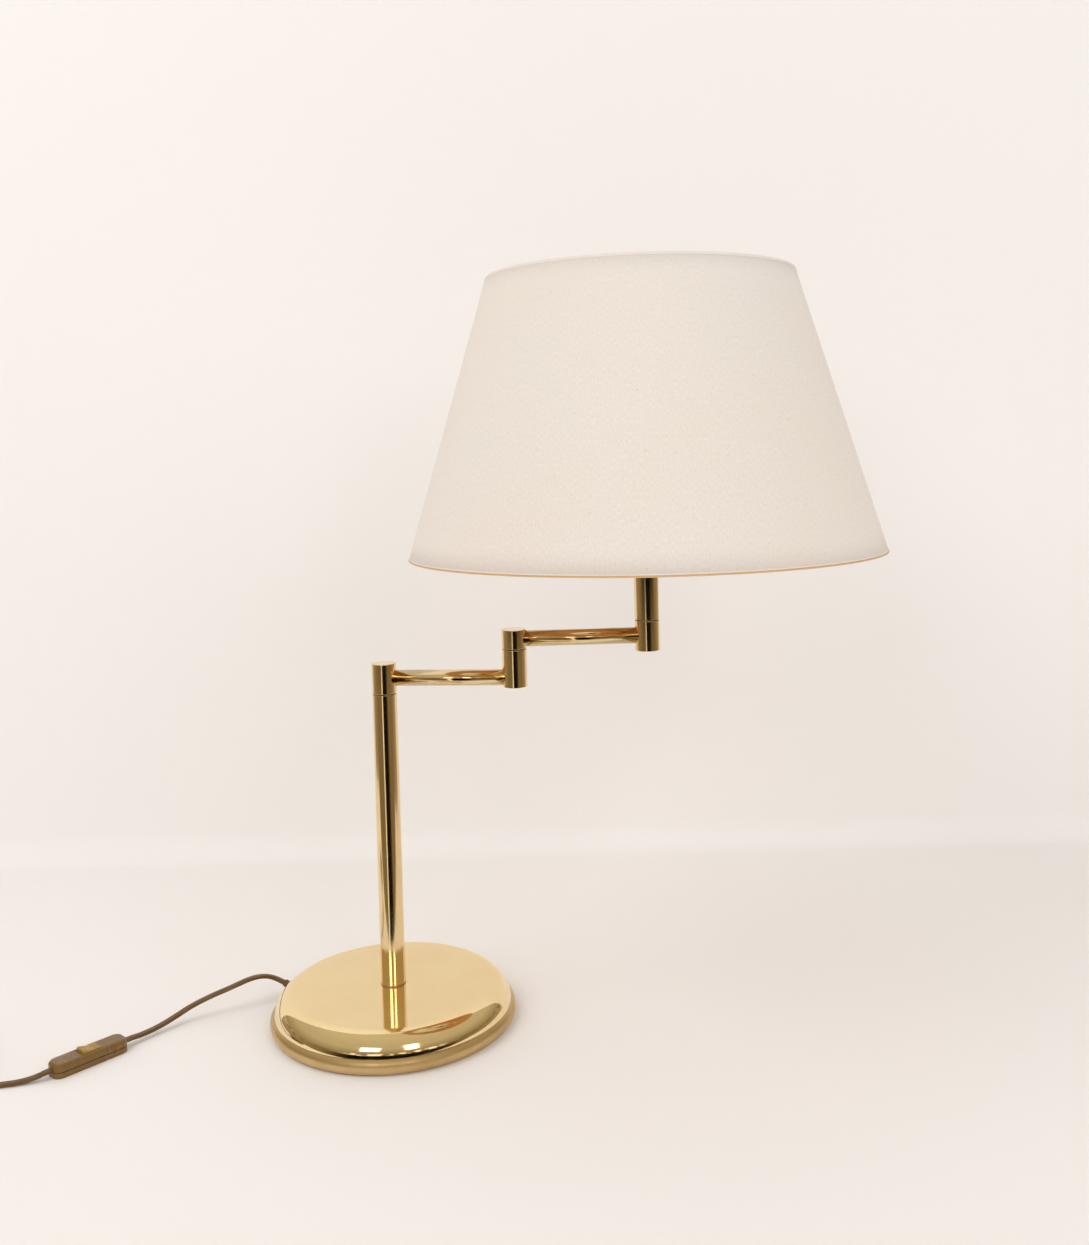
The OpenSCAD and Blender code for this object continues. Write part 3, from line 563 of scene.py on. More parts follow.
def sweep(route, section):
    """A bmesh tube with a section carried along a route, and its UV map in metres."""
    bm = bmesh.new()
    layer = bm.loops.layers.uv.new("metres")
    rings, runs, run = [], [], 0.0
    places = [p.to_3d() for p in route]
    for i, point in enumerate(route):
        here = places[i]
        along = (places[min(i + 1, len(route) - 1)] - places[max(i - 1, 0)]).normalized()
        across = Vector((0, 0, 1)).cross(along).normalized()
        up = along.cross(across)
        roll = radians(point[3])
        wide = across * cos(roll) + up * sin(roll)
        thin = up * cos(roll) - across * sin(roll)
        run += (here - places[max(i - 1, 0)]).length
        runs.append(run)
        rings.append([bm.verts.new(here + wide * x + thin * y) for x, y in section])
    count = len(section)
    girth = [0.0]
    for a, b in zip(section, section[1:] + section[:1]):
        girth.append(girth[-1] + math.dist(a, b))
    for i in range(len(rings) - 1):
        for k in range(count):
            n = (k + 1) % count
            face = bm.faces.new((rings[i][k], rings[i][n], rings[i + 1][n], rings[i + 1][k]))
            marks = ((girth[k], runs[i]), (girth[k + 1], runs[i]),
                     (girth[k + 1], runs[i + 1]), (girth[k], runs[i + 1]))
            for loop, mark in zip(face.loops, marks):
                loop[layer].uv = mark
    bm.faces.new(rings[0])
    bm.faces.new(list(reversed(rings[-1])))
    return bm


def make_cord():
    low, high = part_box("cord_coil")
    coil = coil_points((low + high) / 2)
    route = (eased([Vector(p) for p in LEAD_ROUTE + TAIL_ROUTE + coil[:1]], 4)[:-1]
             + [Vector(p) for p in coil[:-1]]
             + eased([Vector(p) for p in coil[-1:] + END_ROUTE], 4))
    bm = sweep(route, cord_section())
    cord = add("mains_cord", to_mesh(bm, "mains_cord", 60), "base", brown_cord,
               ("cord_lead", "cord_tail", "cord_coil", "cord_end"))
    return cord, [tuple(p.to_3d()) for p in route]


cord, cord_path = make_cord()


def axis_frame(start, direction):
    """A matrix that stands a lathed piece at start, pointing along a direction."""
    return Matrix.Translation(start) @ Vector((0, 0, 1)).rotation_difference(
        direction).to_matrix().to_4x4()


RELIEF_HEADING = 172
RELIEF_SLOPE = 26


def make_relief():
    """The ribbed, tapered sleeve that the cord leaves the base through."""
    exit_at = Vector(LEAD_ROUTE[0][:3])
    heading, slope = radians(RELIEF_HEADING), radians(RELIEF_SLOPE)
    out = Vector((cos(slope) * cos(heading), cos(slope) * sin(heading), sin(slope)))
    points = [(0.0, -0.019), (0.0033, -0.019)]
    for i in range(5):
        z = -0.0105 + 0.0021 * i
        r = 0.0035 - 0.00008 * i
        points += [(r, z), (r, z + 0.0012), (r - 0.0005, z + 0.0014), (r - 0.0005, z + 0.0019)]
    points += [(0.0030, 0.0), (0.0, 0.0)]
    return turned("cord_sleeve", points, "base", brown_plastic, closed=False, steps=32,
                  replaces=("cord_relief",),
                  place=axis_frame(exit_at, out))


def make_plug():
    """The flat two-pin plug with its ribbed sleeve and nickelled pins."""
    low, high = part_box("plug_body")
    middle, thick = (low.x + high.x) / 2, high.z - low.z
    half = (high.x - low.x) / 2
    sleeve_end = low.y + 0.022
    length = high.y - sleeve_end
    bm = bmesh.new()
    sides = [(0.006, 0.0), (half - 0.004, length - 0.014), (half, length - 0.008),
             (half, length)]
    corners = sides + [(-x, y) for x, y in reversed(sides)]
    face = bm.faces.new([bm.verts.new((middle + x, sleeve_end + y, low.z)) for x, y in corners])
    pull(bm, bmesh.ops.extrude_face_region(bm, geom=[face]), (0, 0, thick))
    body = soften(add("plug", to_mesh(bm, "plug"), "base", brown_plastic, ("plug_body",)), 0.0022, 5, 20)
    points = [(0.0, 0.0), (0.0033, 0.0)]
    for i in range(7):
        z = 0.0015 + 0.0029 * i
        r = 0.0033 + 0.00024 * i
        points += [(r, z), (r, z + 0.0016), (r - 0.0006, z + 0.0019), (r - 0.0006, z + 0.0026)]
    points += [(0.005, 0.022), (0.005, 0.025), (0.0, 0.025)]
    start = Vector((middle, low.y, low.z + thick / 2))
    sleeve = turned("plug_sleeve", points, "base", brown_plastic, closed=False, steps=32,
                    place=axis_frame(start, Vector((0, 1, 0))))
    pin_low, pin_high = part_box("plug_pins")
    r = (pin_high.z - pin_low.z) / 2
    reach = pin_high.y - pin_low.y
    pins = []
    for name, x in (("plug_pin_left", pin_low.x + r), ("plug_pin_right", pin_high.x - r)):
        shape = [(0.0, -0.002), (r - 0.0002, -0.002), (r - 0.0002, 0.010), (r, 0.0102),
                 *arc(r - 0.0015, reach - 0.0015, 0.0015, 0, 90, 5), (0.0, reach)]
        pins.append(turned(name, shape, "base", contact_brass, closed=False, steps=32,
                           replaces=("plug_pins",),
                           place=axis_frame(Vector((x, pin_low.y, pin_low.z + r)),
                                            Vector((0, 1, 0)))))
    return [body, sleeve, *pins]


def make_tie():
    """The woven strap that holds the coil together."""
    low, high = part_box("cord_coil")
    middle = (low + high) / 2
    inner, outer = 0.0243, 0.0394
    bm = bmesh.new()
    half_w, wall = 0.004, 0.0007
    height = (high.z - low.z) / 2 + 0.0002
    corners = [(inner - wall, -height), (outer + wall, -height), (outer + wall, height),
               (inner - wall, height)]
    verts = [bm.verts.new((x, -half_w, z)) for x, z in corners]
    join_up(bm, verts)
    bmesh.ops.bevel(bm, geom=verts, offset=0.0025, affect="VERTICES", segments=5, profile=0.5,
                    material=-1)
    pull(bm, bmesh.ops.extrude_edge_only(bm, edges=bm.edges), (0, 2 * half_w, 0))
    place = (Matrix.Translation((middle.x, middle.y, middle.z))
             @ Matrix.Rotation(radians(60), 4, "Z"))
    bmesh.ops.transform(bm, matrix=place, verts=bm.verts)
    tie = add("coil_strap", to_mesh(bm, "coil_strap", 60), "base", black_strap, ("cord_tie",))
    return thicken(tie, wall, 0)


SWITCH_ROCK = next(joint for joint in frame["joints"] if joint["name"] == "switch_rock")
SWITCH_L, SWITCH_W = 0.060, 0.018
SWITCH_CORNER = 0.0065
SWITCH_RIM = 0.0026
HALF_SPLIT = 0.0002


def switch_shell(name, node, low, high, upper=False):
    """Half of the switch, with round corners; the upper half has a round rim and a well."""
    bm = bmesh.new()
    corners = oblong(bm, SWITCH_L / 2, SWITCH_W / 2, low)
    bm.faces.new(corners)
    bmesh.ops.bevel(bm, geom=corners, offset=SWITCH_CORNER, affect="VERTICES", segments=10,
                    profile=0.5, material=-1)
    bm.faces.ensure_lookup_table()
    tops = pull(bm, bmesh.ops.extrude_face_region(bm, geom=[bm.faces[0]]), (0, 0, high - low))
    if upper:
        rim = [e for e in bm.edges if all(v in tops for v in e.verts)]
        bmesh.ops.bevel(bm, geom=rim, offset=SWITCH_RIM, affect="EDGES", segments=6,
                        profile=0.5, material=-1)
        rocker_well(bm, high)
    bmesh.ops.transform(bm, matrix=switch_place(), verts=bm.verts)
    obj = add(name, to_mesh(bm, name), "base", brown_plastic, (node,))
    return soften(obj, 0.0003, 3, 50)


def switch_place():
    """The switch's own frame: its middle on the table, and x along it."""
    low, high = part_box("switch_base")
    middle = (low + high) / 2
    axis = SWITCH_ROCK["axis"]
    return Matrix.Translation((middle.x, middle.y, 0)) @ Matrix.Rotation(
        math.atan2(-axis[0], axis[1]), 4, "Z")


def rocker_well(bm, top):
    """Sinks a rectangular well for the rocker into the switch's flat top."""
    well_l, well_w, depth = 0.0077, 0.0061, 0.0045
    face = max(bm.faces, key=lambda f: f.calc_center_median().z)
    inner = join_up(bm, oblong(bm, well_l, well_w, top))
    outer = list(face.edges)
    bmesh.ops.delete(bm, geom=[face], context="FACES_ONLY")
    bmesh.ops.triangle_fill(bm, use_beauty=True, edges=outer + inner)
    middles = [(f, f.calc_center_median()) for f in bm.faces]
    holes = [f for f, at in middles
             if abs(at.z - top) < 1e-6 and abs(at.x) < well_l and abs(at.y) < well_w]
    bmesh.ops.delete(bm, geom=holes, context="FACES_ONLY")
    sunk = bmesh.ops.extrude_edge_only(bm, edges=inner)
    bottom = pull(bm, sunk, (0, 0, -depth))
    bmesh.ops.contextual_create(bm, geom=[
        e for e in sunk["geom"]
        if isinstance(e, bmesh.types.BMEdge) and all(v in bottom for v in e.verts)])


def rocker_side(half_l):
    """The rocker seen from its side: a shallow V on top, with ridges on both slopes."""
    foot, middle, end = -0.0005, 0.0046, 0.0054
    ridge_half, ridge_high, pitch = 0.0003, 0.00035, 0.0011
    right = [(half_l, foot), (half_l, end)]
    for i in range(4):
        x = half_l - 0.0012 - pitch * i
        z = middle + (end - middle) * x / half_l
        right += [(x + ridge_half, z), (x, z + ridge_high), (x - ridge_half, z)]
    return right + [(0.0, middle)] + [(-x, z) for x, z in reversed(right)]


def make_rocker():
    """The gold rocker, tipped to the side that is pressed."""
    half_l, half_w, tip = 0.007, 0.00575, 6
    bm = bmesh.new()
    face = bm.faces.new([bm.verts.new((x, -half_w, z)) for x, z in rocker_side(half_l)])
    pull(bm, bmesh.ops.extrude_face_region(bm, geom=[face]), (0, 2 * half_w, 0))
    place = (switch_place() @ Matrix.Translation((0, 0, SWITCH_ROCK["pos_m"][2]))
             @ Matrix.Rotation(radians(tip), 4, "Y"))
    bmesh.ops.transform(bm, matrix=place, verts=bm.verts)
    rocker = add("rocker", to_mesh(bm, "rocker", 20), "rocker", gold_plastic,
                 ("switch_rocker",))
    return soften(rocker, 0.0002, 2, 50)


def make_switch():
    """The inline switch: two shells and a rocker."""
    low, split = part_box("switch_base")
    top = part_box("switch_cover")[1]
    return [switch_shell("switch_lower_shell", "switch_base", low.z, split.z - HALF_SPLIT),
            switch_shell("switch_upper_shell", "switch_cover", split.z + HALF_SPLIT, top.z, True),
            make_rocker()]


relief = make_relief()
plug_pieces = make_plug()
tie = make_tie()
switch_pieces = make_switch()


# ---------------------------------------------------------------- base

BORE = 0.005
TUBE_WALL = 0.0012
SHEET_WALL = 0.0012
LARGE = 192


def make_base():
    """The spun cover, the satin band it sits on, and the thin washer under the post."""
    low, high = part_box("base_cover")
    r, top, seam = high.x, high.z, low.z
    side_r, small_r = 0.022, 0.014
    step = (side_r - small_r) * cos(radians(45))
    side_z = top - small_r - step
    side_x = r - math.sqrt(side_r ** 2 - (seam - side_z) ** 2)
    top_x, top_z = side_x + step, top - small_r
    down = math.degrees(math.asin((side_z - seam) / side_r))

    def shell(inset):
        return ([(BORE, top - inset)] + arc(top_x, top_z, small_r - inset, 90, 45, 12)
                + arc(side_x, side_z, side_r - inset, 45, -down, 30)[1:])

    outside = shell(0.0)
    inside = [(x, max(z, seam)) for x, z in reversed(shell(SHEET_WALL))]
    turned("cover", outside + inside, "base", polished_brass, steps=LARGE,
           replaces=("base_cover",))

    low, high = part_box("base_band")
    bottom, band_r, depth, lip_wall = low.z, 0.007, 0.0106, 0.0016
    rim = seam - 0.0002
    band_x = high.x - band_r
    start = math.degrees(math.asin((bottom - band_r) / band_r))
    end = math.degrees(math.asin((rim - band_r) / band_r))
    lip = side_x + math.sqrt((side_r - SHEET_WALL) ** 2 - (high.z - side_z) ** 2) - 0.0003
    points = ([(high.x - depth, bottom)] + arc(band_x, band_r, band_r, start, end, 28)
              + [(lip, rim), (lip, high.z), (lip - lip_wall, high.z),
                 (lip - lip_wall, rim - 0.001), (high.x - depth, rim - 0.001)])
    turned("band", points, "base", satin_brass, steps=LARGE, replaces=("base_band",))

    at, low_z, high_z, r = tube_box("foot_washer")
    turned("foot_ring", sleeve(BORE, r, low_z, high_z), "base", satin_brass, at, edge=0.0003,
           replaces=("foot_washer",))


# ---------------------------------------------------------------- post, arms and barrels

def barrel(name, node, body, out, thick):
    """A round barrel, open for its disc at one end: out is 1 where that end looks up, or -1."""
    at, low, high, r = tube_box(node)
    inner, lip, hole = r - 0.0022, r - 0.001, BORE + 0.0001
    mouth, floor = (high, low) if out > 0 else (low, high)
    seat, inside = mouth - 0.002 * out, floor + thick * out
    points = [(hole, floor), (r, floor), (r, mouth), (lip, mouth), (lip, seat), (inner, seat),
              (inner, inside), (hole, inside)]
    turned(name, points, body, tube_brass, at, edge=0.0007, replaces=(node,))


def disc(name, node, body, out):
    """A barrel's flat end disc; out is 1 where its face looks up, or -1."""
    at, low, high, r = tube_box(node)
    face, back = (high, low) if out > 0 else (low, high)
    turned(name, sleeve(0.0, r, back, face), body, polished_brass, at, closed=False,
           edge=0.0002, replaces=(node,))


def pipe(name, node, body):
    """An upright tube."""
    at, low, high, r = tube_box(node)
    turned(name, sleeve(r - TUBE_WALL, r, low, high), body, tube_brass, at, edge=0.0003,
           replaces=(node,))


def arm(name, node, body, start, end, barrel_r):
    """A level tube between two barrels, shaped at its ends to sit against them."""
    low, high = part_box(node)
    r = (high.z - low.z) / 2
    start = Vector((*start, (low.z + high.z) / 2))
    end = Vector((*end, start.z))
    length = (end - start).length
    bm = bmesh.new()
    bmesh.ops.create_cone(bm, cap_ends=False, segments=96, radius1=r, radius2=r, depth=length)
    bmesh.ops.rotate(bm, cent=(0, 0, 0), matrix=Matrix.Rotation(pi / 2, 3, "Y"), verts=bm.verts)
    for vert in bm.verts:
        seat = math.sqrt(barrel_r ** 2 - vert.co.y ** 2)
        vert.co.x = seat if vert.co.x < 0 else length - seat
    heading = math.atan2(end.y - start.y, end.x - start.x)
    place = Matrix.Translation(start) @ Matrix.Rotation(heading, 4, "Z")
    bmesh.ops.transform(bm, matrix=place, verts=bm.verts)
    thicken(add(name, to_mesh(bm, name), body, tube_brass, (node,)), TUBE_WALL)


def make_arms():
    """The post, the stem, both arms, and the four barrels with their discs."""
    pipe("post", "post_tube", "base")
    pipe("stem", "stem_tube", "stem")
    barrels = (("post_head", "head_barrel", "head_cap", "lower_arm", 1, 0.004),
               ("elbow_low", "elbow_barrel", "elbow_floor_cap", "lower_arm", -1, 0.012),
               ("elbow_top", "hinge_barrel", "hinge_cap", "upper_arm", 1, 0.004),
               ("arm_end", "end_barrel", "end_floor_cap", "upper_arm", -1, 0.0046))
    for name, node, _, body, out, thick in barrels:
        barrel(name, node, body, out, thick)
    for name, _, cap, body, out, _ in barrels:
        disc(f"{name}_disc", cap, body, out)
    head, _, _, r = tube_box("head_barrel")
    elbow, end = tube_box("elbow_barrel")[0], tube_box("end_barrel")[0]
    arm("lower_arm", "lower_arm_tube", "lower_arm", head, elbow, r)
    arm("upper_arm", "upper_arm_tube", "upper_arm", elbow, end, r)


# ---------------------------------------------------------------- shade

def cone_band(name, low_r, high_r, low_z, high_z, at, material, wall, share=1.0, start=0.0,
              steps=LARGE):
    """Part or all of a cone of cloth, with its UV map in metres round it and up it."""
    bm = bmesh.new()
    rows = 12 if share == 1.0 else 1
    points = [(low_r + (high_r - low_r) * i / rows, low_z + (high_z - low_z) * i / rows)
              for i in range(rows + 1)]
    bmesh.ops.spin(bm, geom=outline(bm, points, False), cent=(0, 0, 0), axis=(0, 0, 1),
                   dvec=(0, 0, 0), angle=2 * pi * share, steps=steps, use_merge=share == 1.0)
    bmesh.ops.recalc_face_normals(bm, faces=bm.faces)
    slant = math.hypot(high_z - low_z, low_r - high_r)
    wrap_map(bm, (low_r + high_r) / 2, lambda z: (z - low_z) * slant / (high_z - low_z))
    for face in bm.faces:
        face.smooth = True
    place = Matrix.Translation((*at, 0)) @ Matrix.Rotation(radians(start), 4, "Z")
    bmesh.ops.transform(bm, matrix=place, verts=bm.verts)
    face = bm.faces[:][0]
    if face.normal.dot(face.calc_center_median() - Vector((*at, 0))) < 0:
        bmesh.ops.reverse_faces(bm, faces=bm.faces)
    mesh = bpy.data.meshes.new(name)
    bm.to_mesh(mesh)
    bm.free()
    return thicken(add(name, mesh, "stem", material), wall)


def round_wire(x, z, r):
    """A round wire's section."""
    return arc(x, z, r, 0, 345, 23)


WIRE_R = 0.00125


def ring(name, node):
    """A white wire ring, in place of its node."""
    at, low, high, r = tube_box(node)
    turned(name, round_wire(r - WIRE_R, (low + high) / 2, WIRE_R), "stem", white_paint, at,
           steps=160, replaces=(node,))


def make_shade():
    """The cloth with its lining, its folded hems, its lower edge and its lap. The lining's orange-brown
    is painted shade for the unlit inside, and the brown lower edge ring is a painted shade line.
    """
    at, low, high, low_r = tube_box("shade_panel")
    top_r = max(math.dist(vert.co[:2], at) for vert in NODES["shade_panel"].data.vertices
                if vert.co.z > high - 0.001)
    panel = cone_band("shade_cloth", low_r, top_r, low, high, at, shade_fabric, 0.001)
    panel.data.materials.append(lining_painted_shade)
    panel.modifiers["wall"].material_offset = 1
    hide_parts("shade_panel")
    slope = (low_r - top_r) / (high - low)
    proud, hem = 0.00015, 0.0022
    for name, z0, z1 in (("hem_low", low, low + hem), ("hem_top", high - hem, high)):
        r0 = low_r - slope * (z0 - low)
        r1 = low_r - slope * (z1 - low)
        points = [(r0 + proud, z0 + 0.0002), (r1 + proud, z1 - 0.0002), (r1 + proud - 0.0003, z1),
                  (r1 - 0.0013, z1), (r1 - 0.0017, z1 - 0.0004), (r0 - 0.0017, z0 + 0.0004),
                  (r0 - 0.0013, z0), (r0 + proud - 0.0003, z0)]
        hem_tape(name, points, at)
    # A thin brown ring along the lower edge, in the lining's colour: a painted shade line for the edge's
    # darker underside.
    edge = turned("painted_shade_edge", round_wire(low_r - 0.0006, low + 0.0006, 0.0008), "stem",
                  lining_painted_shade, at, steps=LARGE)
    lap = cone_band("shade_lap", low_r + 0.0006, top_r + 0.0006, low + hem, high - hem, at,
                    shade_fabric, 0.0006, share=0.011, start=88, steps=4)


def hem_tape(name, points, at):
    """A folded edge of the cloth, all round, with its own UV map."""
    bm = lathe(points, True, LARGE)
    wrap_map(bm, points[0][0], lambda z: z)
    bmesh.ops.translate(bm, vec=(*at, 0), verts=bm.verts)
    obj = add(name, to_mesh(bm, name), "stem", shade_fabric)
    return obj


def make_carrier():
    """The white wire rings, and the hub with its three spokes."""
    ring("low_ring", "shade_ring_low")
    ring("top_ring", "shade_ring_top")
    at = tube_box("shade_panel")[0]
    hub_in = tube_box("holder_sleeve")[3] + 0.0003
    hub_out = hub_in + 0.0045
    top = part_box("shade_carrier")[1].z
    ring_at = tube_box("shade_ring_low")
    turned("carrier_hub", sleeve(hub_in, hub_out, top - 0.0025, top - 0.0005), "stem",
           white_paint, at, edge=0.0003, replaces=("shade_carrier",))
    start = Vector((hub_out - 0.001, 0, top - 0.0015))
    finish = Vector((ring_at[3] - 2 * WIRE_R, 0, ring_at[1] + WIRE_R))
    reach = finish - start
    spoke = sleeve(0.0, 0.0015, 0.0, reach.length)
    for i in range(3):
        turn = Matrix.Translation((*at, 0)) @ Matrix.Rotation(radians(30 + 120 * i), 4, "Z")
        place = turn @ axis_frame(start, reach.normalized())
        turned(f"spoke_{i + 1}", spoke, "stem", white_paint, closed=False, steps=24,
               place=place)


# ---------------------------------------------------------------- lampholder and bulb

def screw_thread(low, high, r, pitch, depth):
    """(radius, height) points up a threaded barrel, as close round crests."""
    points = []
    count = int((high - low) / pitch)
    for i in range(count):
        z = low + pitch * i
        points += [(r - depth, z), (r - depth * 0.3, z + pitch * 0.2), (r, z + pitch * 0.5),
                   (r - depth * 0.3, z + pitch * 0.8)]
    return points + [(r - depth, low + pitch * count)]


def make_holder():
    """The phenolic lampholder: its threaded barrel, its foot, and its ribbed shade ring."""
    at, low, high, r = tube_box("holder_sleeve")
    wall, bore = 0.002, r - 0.002
    thread = screw_thread(low, high - 0.002, r, 0.003, 0.0009)
    turned("holder_thread", [(bore, low), *thread, (r - 0.0008, high), (bore, high)], "stem",
           black_plastic, at, replaces=("holder_sleeve",))
    _, low, high, flange = tube_box("holder_cup")
    step = low + 0.008
    turned("holder_base", [(BORE, low), (2 * BORE, low), (r, step), (r, high - wall),
                           (flange, high - wall), (flange, high), (bore, high), (bore, step),
                           (BORE, step)], "stem",
           black_plastic, at, edge=0.0005, replaces=("holder_cup",))
    _, low, high, out = tube_box("shade_nut")
    turned("holder_ring", sleeve(r + 0.0001, out, low, high), "stem", black_plastic, at,
           edge=0.0006, replaces=("shade_nut",))
    grip = bmesh.new()
    ribs = 36
    for i in range(ribs):
        where = (Matrix.Translation((*at, (low + high) / 2))
                 @ Matrix.Rotation(2 * pi * i / ribs, 4, "Z") @ Matrix.Translation((out, 0, 0))
                 @ Matrix.Diagonal((0.0006, 0.0012, (high - low) * 0.8, 1)))
        bmesh.ops.create_cube(grip, size=1.0, matrix=where)
    add("holder_ring_grip", to_mesh(grip, "holder_ring_grip"), "stem", black_plastic, ())


def make_bulb():
    """The bulb's screw cap with its contact, and its round opal glass."""
    at, low, high, r = tube_box("bulb_cap")
    rim, skirt = r - 0.0016, low + 0.007
    points = [(0.0, low), (0.004, low), (0.0042, low + 0.001), (r - 0.002, low + 0.004),
              (r - 0.0008, low + 0.006), *screw_thread(skirt, high - 0.001, r, 0.0036, 0.0008),
              (r - 0.0004, high), (rim, high), (rim, skirt), (0.0, skirt)]
    turned("bulb_screw_cap", points, "stem", aluminium, at, closed=False,
           replaces=("bulb_cap",))
    _, low, high, r = tube_box("bulb_glass")
    neck, steps = 0.013, 12
    shape = [(0.0, high)] + arc(0, high - r, r, 88, -24, 30)
    waist_r, waist_z = shape[-1]
    for i in range(1, steps + 1):
        t = i / steps
        pulled = 0.55 * t + 0.45 * smooth_step(t)
        shape.append((waist_r + (neck - waist_r) * pulled, waist_z + (low - waist_z) * t))
    turned("bulb_envelope", shape + [(0.0, low)], "stem", bulb_opal, at, closed=False,
           replaces=("bulb_glass",))


make_base()
make_arms()
make_shade()
make_carrier()
make_holder()
make_bulb()

CARRIED = {
    green_felt: ["felt_pad"],
    zinc_steel: ["base_plate", "plate_screws", "base_nut", "base_nipple", "post_pivot",
                 "post_nut", "elbow_pivot", "elbow_nut", "end_pivot", "end_nut",
                 "stem_nipple"],
    cast_iron: ["base_weight"],
    dark_steel: ["elbow_set_screw"],
    satin_brass: ["post_bushes", "stem_bush", "stem_head"],
    nylon: ["post_washer", "elbow_washer", "end_washer"],
    porcelain: ["holder_insert"],
    contact_brass: ["holder_contacts"],
    brown_plastic: ["base_wire", "lower_arm_wire", "upper_arm_wire"],
}
for material, names in CARRIED.items():
    for name in names:
        for slot in NODES[name].material_slots:
            slot.material = material


# ---------------------------------------------------------------- floor, wall and light

def staged(name, mesh, material):
    """A part of the set, which isn't part of the lamp."""
    obj = bpy.data.objects.new(name, mesh)
    bpy.context.scene.collection.objects.link(obj)
    mesh.materials.append(material)
    return obj


def paper():
    """Pale paper, seen only from its lit side, so that it hides nothing from behind."""
    material, g, principled = shader("paper", Roughness=0.85)
    principled.inputs["Specular IOR Level"].default_value = 0.2
    tone = g.noise(object_coordinates(g), 1.5, 2.0)
    g.feed(principled, Base_Color=g.mix(tone, (0.93, 0.895, 0.865), (0.95, 0.915, 0.885)))
    side = g.node("MixShader")
    g.link(g.node("NewGeometry").outputs["Backfacing"], side.inputs[0])
    g.link(principled.outputs[0], side.inputs[1])
    g.link(g.node("BsdfTransparent").outputs[0], side.inputs[2])
    g.link(side.outputs[0], material.node_tree.nodes["Material Output"].inputs["Surface"])
    return material


def strip(name, points, low_x, high_x, material):
    """A sheet bent along (y, z) points, from one x to another."""
    bm = bmesh.new()
    edges = join_up(bm, [bm.verts.new((low_x, y, z)) for y, z in points], False)
    pull(bm, bmesh.ops.extrude_edge_only(bm, edges=edges), (high_x - low_x, 0, 0))
    mesh = to_mesh(bm, name)
    if mesh.polygons[0].normal.z < 0:
        mesh.flip_normals()
    return staged(name, mesh, material)


NEAR_EDGE = -0.17
FAR_EDGE = 0.385
TABLE_LEFT = -0.75
TABLE_RIGHT = 0.60


def studio():
    """A pale table and wall; the brass mirrors only the near part of the table."""
    white = paper()
    side, sweep_r, height = 4.0, 0.03, 3.2
    curve = [(FAR_EDGE + sweep_r * sin(radians(a)), sweep_r * (1 - cos(radians(a))))
             for a in range(0, 91, 6)]
    wall = [(NEAR_EDGE, 0.0)] + curve + [(FAR_EDGE + sweep_r, height)]
    strip("table_top", wall, TABLE_LEFT, TABLE_RIGHT, white)
    for name, points, low_x, high_x in (
            ("floor_left", wall, -side, TABLE_LEFT), ("floor_right", wall, TABLE_RIGHT, side),
            ("floor_front", [(-3.0, 0.0), (NEAR_EDGE, 0.0)], -side, side)):
        strip(name, points, low_x, high_x, white).visible_glossy = False


def area_light(name, at, target, size, power, glossy=True):
    """A soft white panel of light, turned to its target."""
    data = bpy.data.lights.new(name, "AREA")
    data.shape = "RECTANGLE"
    data.size, data.size_y = size
    data.energy = power
    obj = bpy.data.objects.new(name, data)
    bpy.context.scene.collection.objects.link(obj)
    aim = (Vector(target) - Vector(at)).to_track_quat("-Z", "Y").to_matrix().to_4x4()
    obj.matrix_world = Matrix.Translation(at) @ aim
    obj.visible_glossy = glossy
    obj.visible_camera = False


def ramp(g, value, stops):
    """Colours blended between stops, each at its place from 0 to 1."""
    node = g.node("ValToRGB")
    g.link(value, node.inputs["Fac"])
    elements = node.color_ramp.elements
    while len(elements) > 1:
        elements.remove(elements[-1])
    for i, (place, level) in enumerate(stops):
        element = elements[0] if i == 0 else elements.new(place)
        element.position = place
        element.color = rgba(level)
    return node.outputs["Color"]


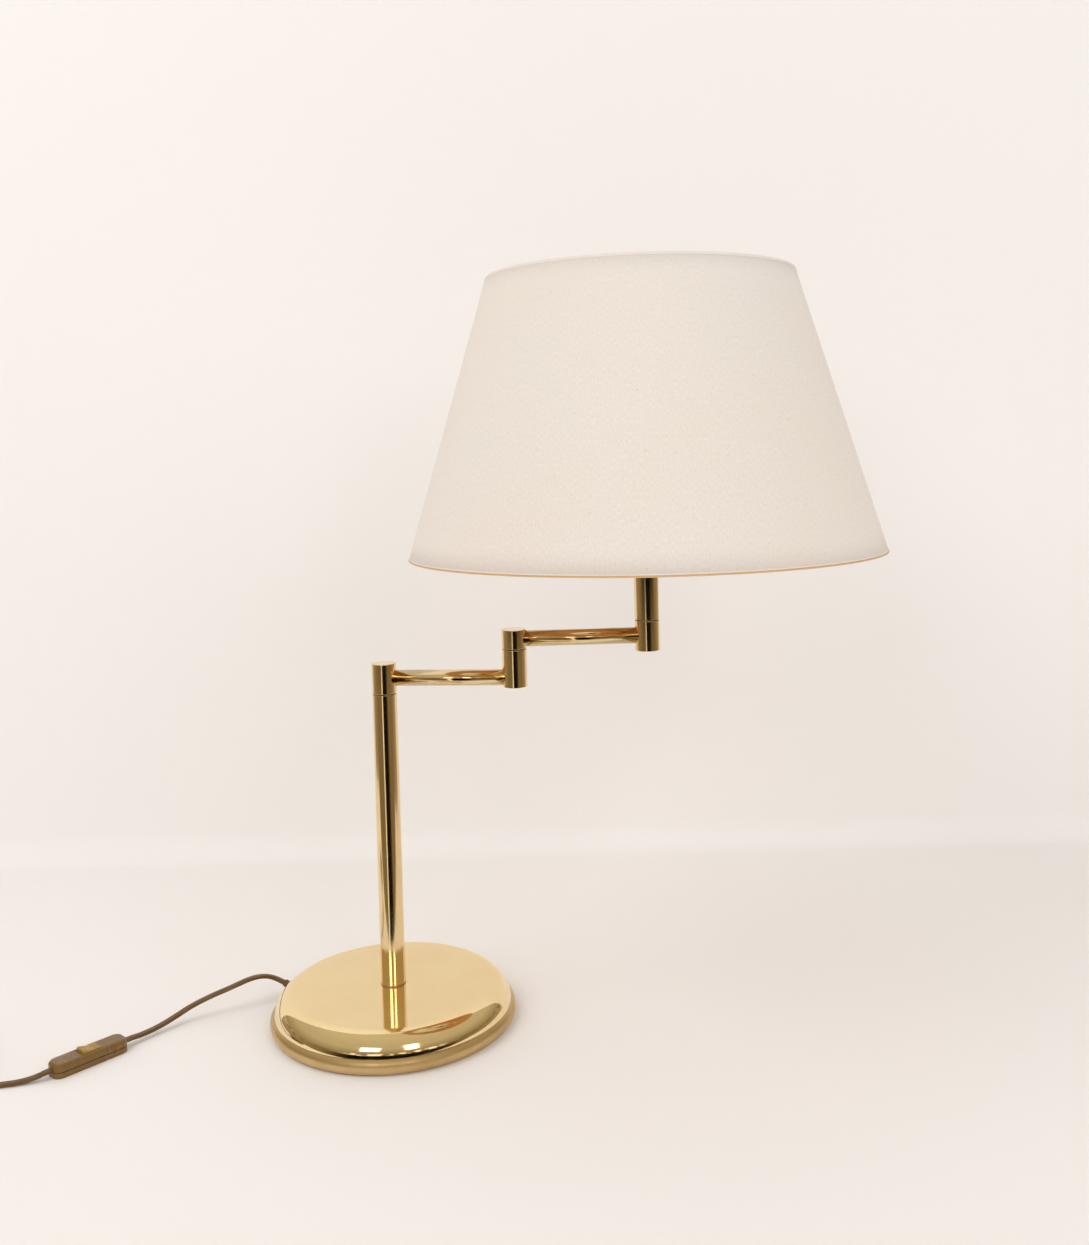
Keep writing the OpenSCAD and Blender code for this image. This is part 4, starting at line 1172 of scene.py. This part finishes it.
def surroundings():
    """Even white light for the matt pieces, and a khaki room for the polished ones."""
    world = bpy.data.worlds.new("room")
    bpy.context.scene.world = world
    world.use_nodes = True
    g = Graph(world.node_tree)
    world.node_tree.nodes.clear()
    out = g.node("OutputWorld")
    direction = g.node("TexCoord").outputs["Generated"]
    parts = g.node("SeparateXYZ")
    g.link(direction, parts.inputs[0])
    x, y, z = parts.outputs
    heading = g.math("ARCTAN2", x, g.math("MULTIPLY", y, -1.0))
    turn = g.spread(heading, -pi, pi)

    def at(degrees):
        return 0.5 + degrees / 360

    room, wall, pale = (0.22, 0.165, 0.095), (0.36, 0.285, 0.185), (0.9, 0.85, 0.76)
    brown, black, bright = (0.07, 0.04, 0.017), (0.006, 0.005, 0.004), (1.3, 1.2, 1.05)
    low_walls = ramp(g, turn, [
        (at(-180), pale), (at(-125), pale), (at(-100), wall), (at(-60), room), (at(-20), room),
        (at(-16), bright), (at(-12), bright), (at(-10), brown), (at(-5), black), (at(21), black),
        (at(24), brown), (at(31), brown), (at(34), room), (at(70), room), (at(105), wall),
        (at(130), pale), (at(180), pale)])
    dark_walls = ramp(g, turn, [
        (at(-180), pale), (at(-120), wall), (at(-62), room), (at(-46), brown), (at(-34), black),
        (at(46), black), (at(58), brown), (at(72), room), (at(125), wall), (at(180), pale)])
    lit_walls = ramp(g, turn, [
        (at(-180), pale), (at(-100), wall), (at(-60), room), (at(-40), wall), (at(-30), bright),
        (at(44), bright), (at(56), wall), (at(75), room), (at(120), wall), (at(180), pale)])
    specks = g.spread(g.noise(direction, 9.0, 1.0), 0.44, 0.52)
    lit_walls = g.mix(specks, room, lit_walls)
    level = g.mix(g.spread(z, -0.17, -0.10), low_walls, dark_walls)
    level = g.mix(g.spread(z, 0.09, 0.11), level, lit_walls)
    level = g.mix(g.spread(z, 0.19, 0.21), level, wall)
    level = g.mix(g.spread(z, 0.25, 0.5), level, (0.52, 0.46, 0.34))
    sky = g.mix(g.spread(z, 0.6, 0.95), level, (0.62, 0.54, 0.40))
    light = g.node("Background")
    g.feed(light, Color=(1.0, 0.985, 0.965), Strength=0.66)
    picture = g.node("Background")
    g.feed(picture, Color=sky, Strength=1.0)
    choice = g.node("MixShader")
    g.link(g.node("LightPath").outputs["Is Glossy Ray"], choice.inputs[0])
    g.link(light.outputs[0], choice.inputs[1])
    g.link(picture.outputs[0], choice.inputs[2])
    g.link(choice.outputs[0], out.inputs["Surface"])


studio()
surroundings()
bpy.context.scene.view_settings.view_transform = "Standard"
area_light("key_softbox", (-1.3, -0.9, 2.0), (0.1, 0, 0.2), (1.4, 1.4), 12, glossy=False)
area_light("fill_softbox", (1.7, -1.2, 1.3), (0.1, 0, 0.3), (1.2, 1.6), 6, glossy=False)
area_light("window_left", (-0.62, -2.2, 1.15), (0, 0, 0.05), (0.75, 0.55), 4)
area_light("window_right", (0.95, -2.2, 1.25), (0, 0, 0.05), (0.55, 0.80), 4)
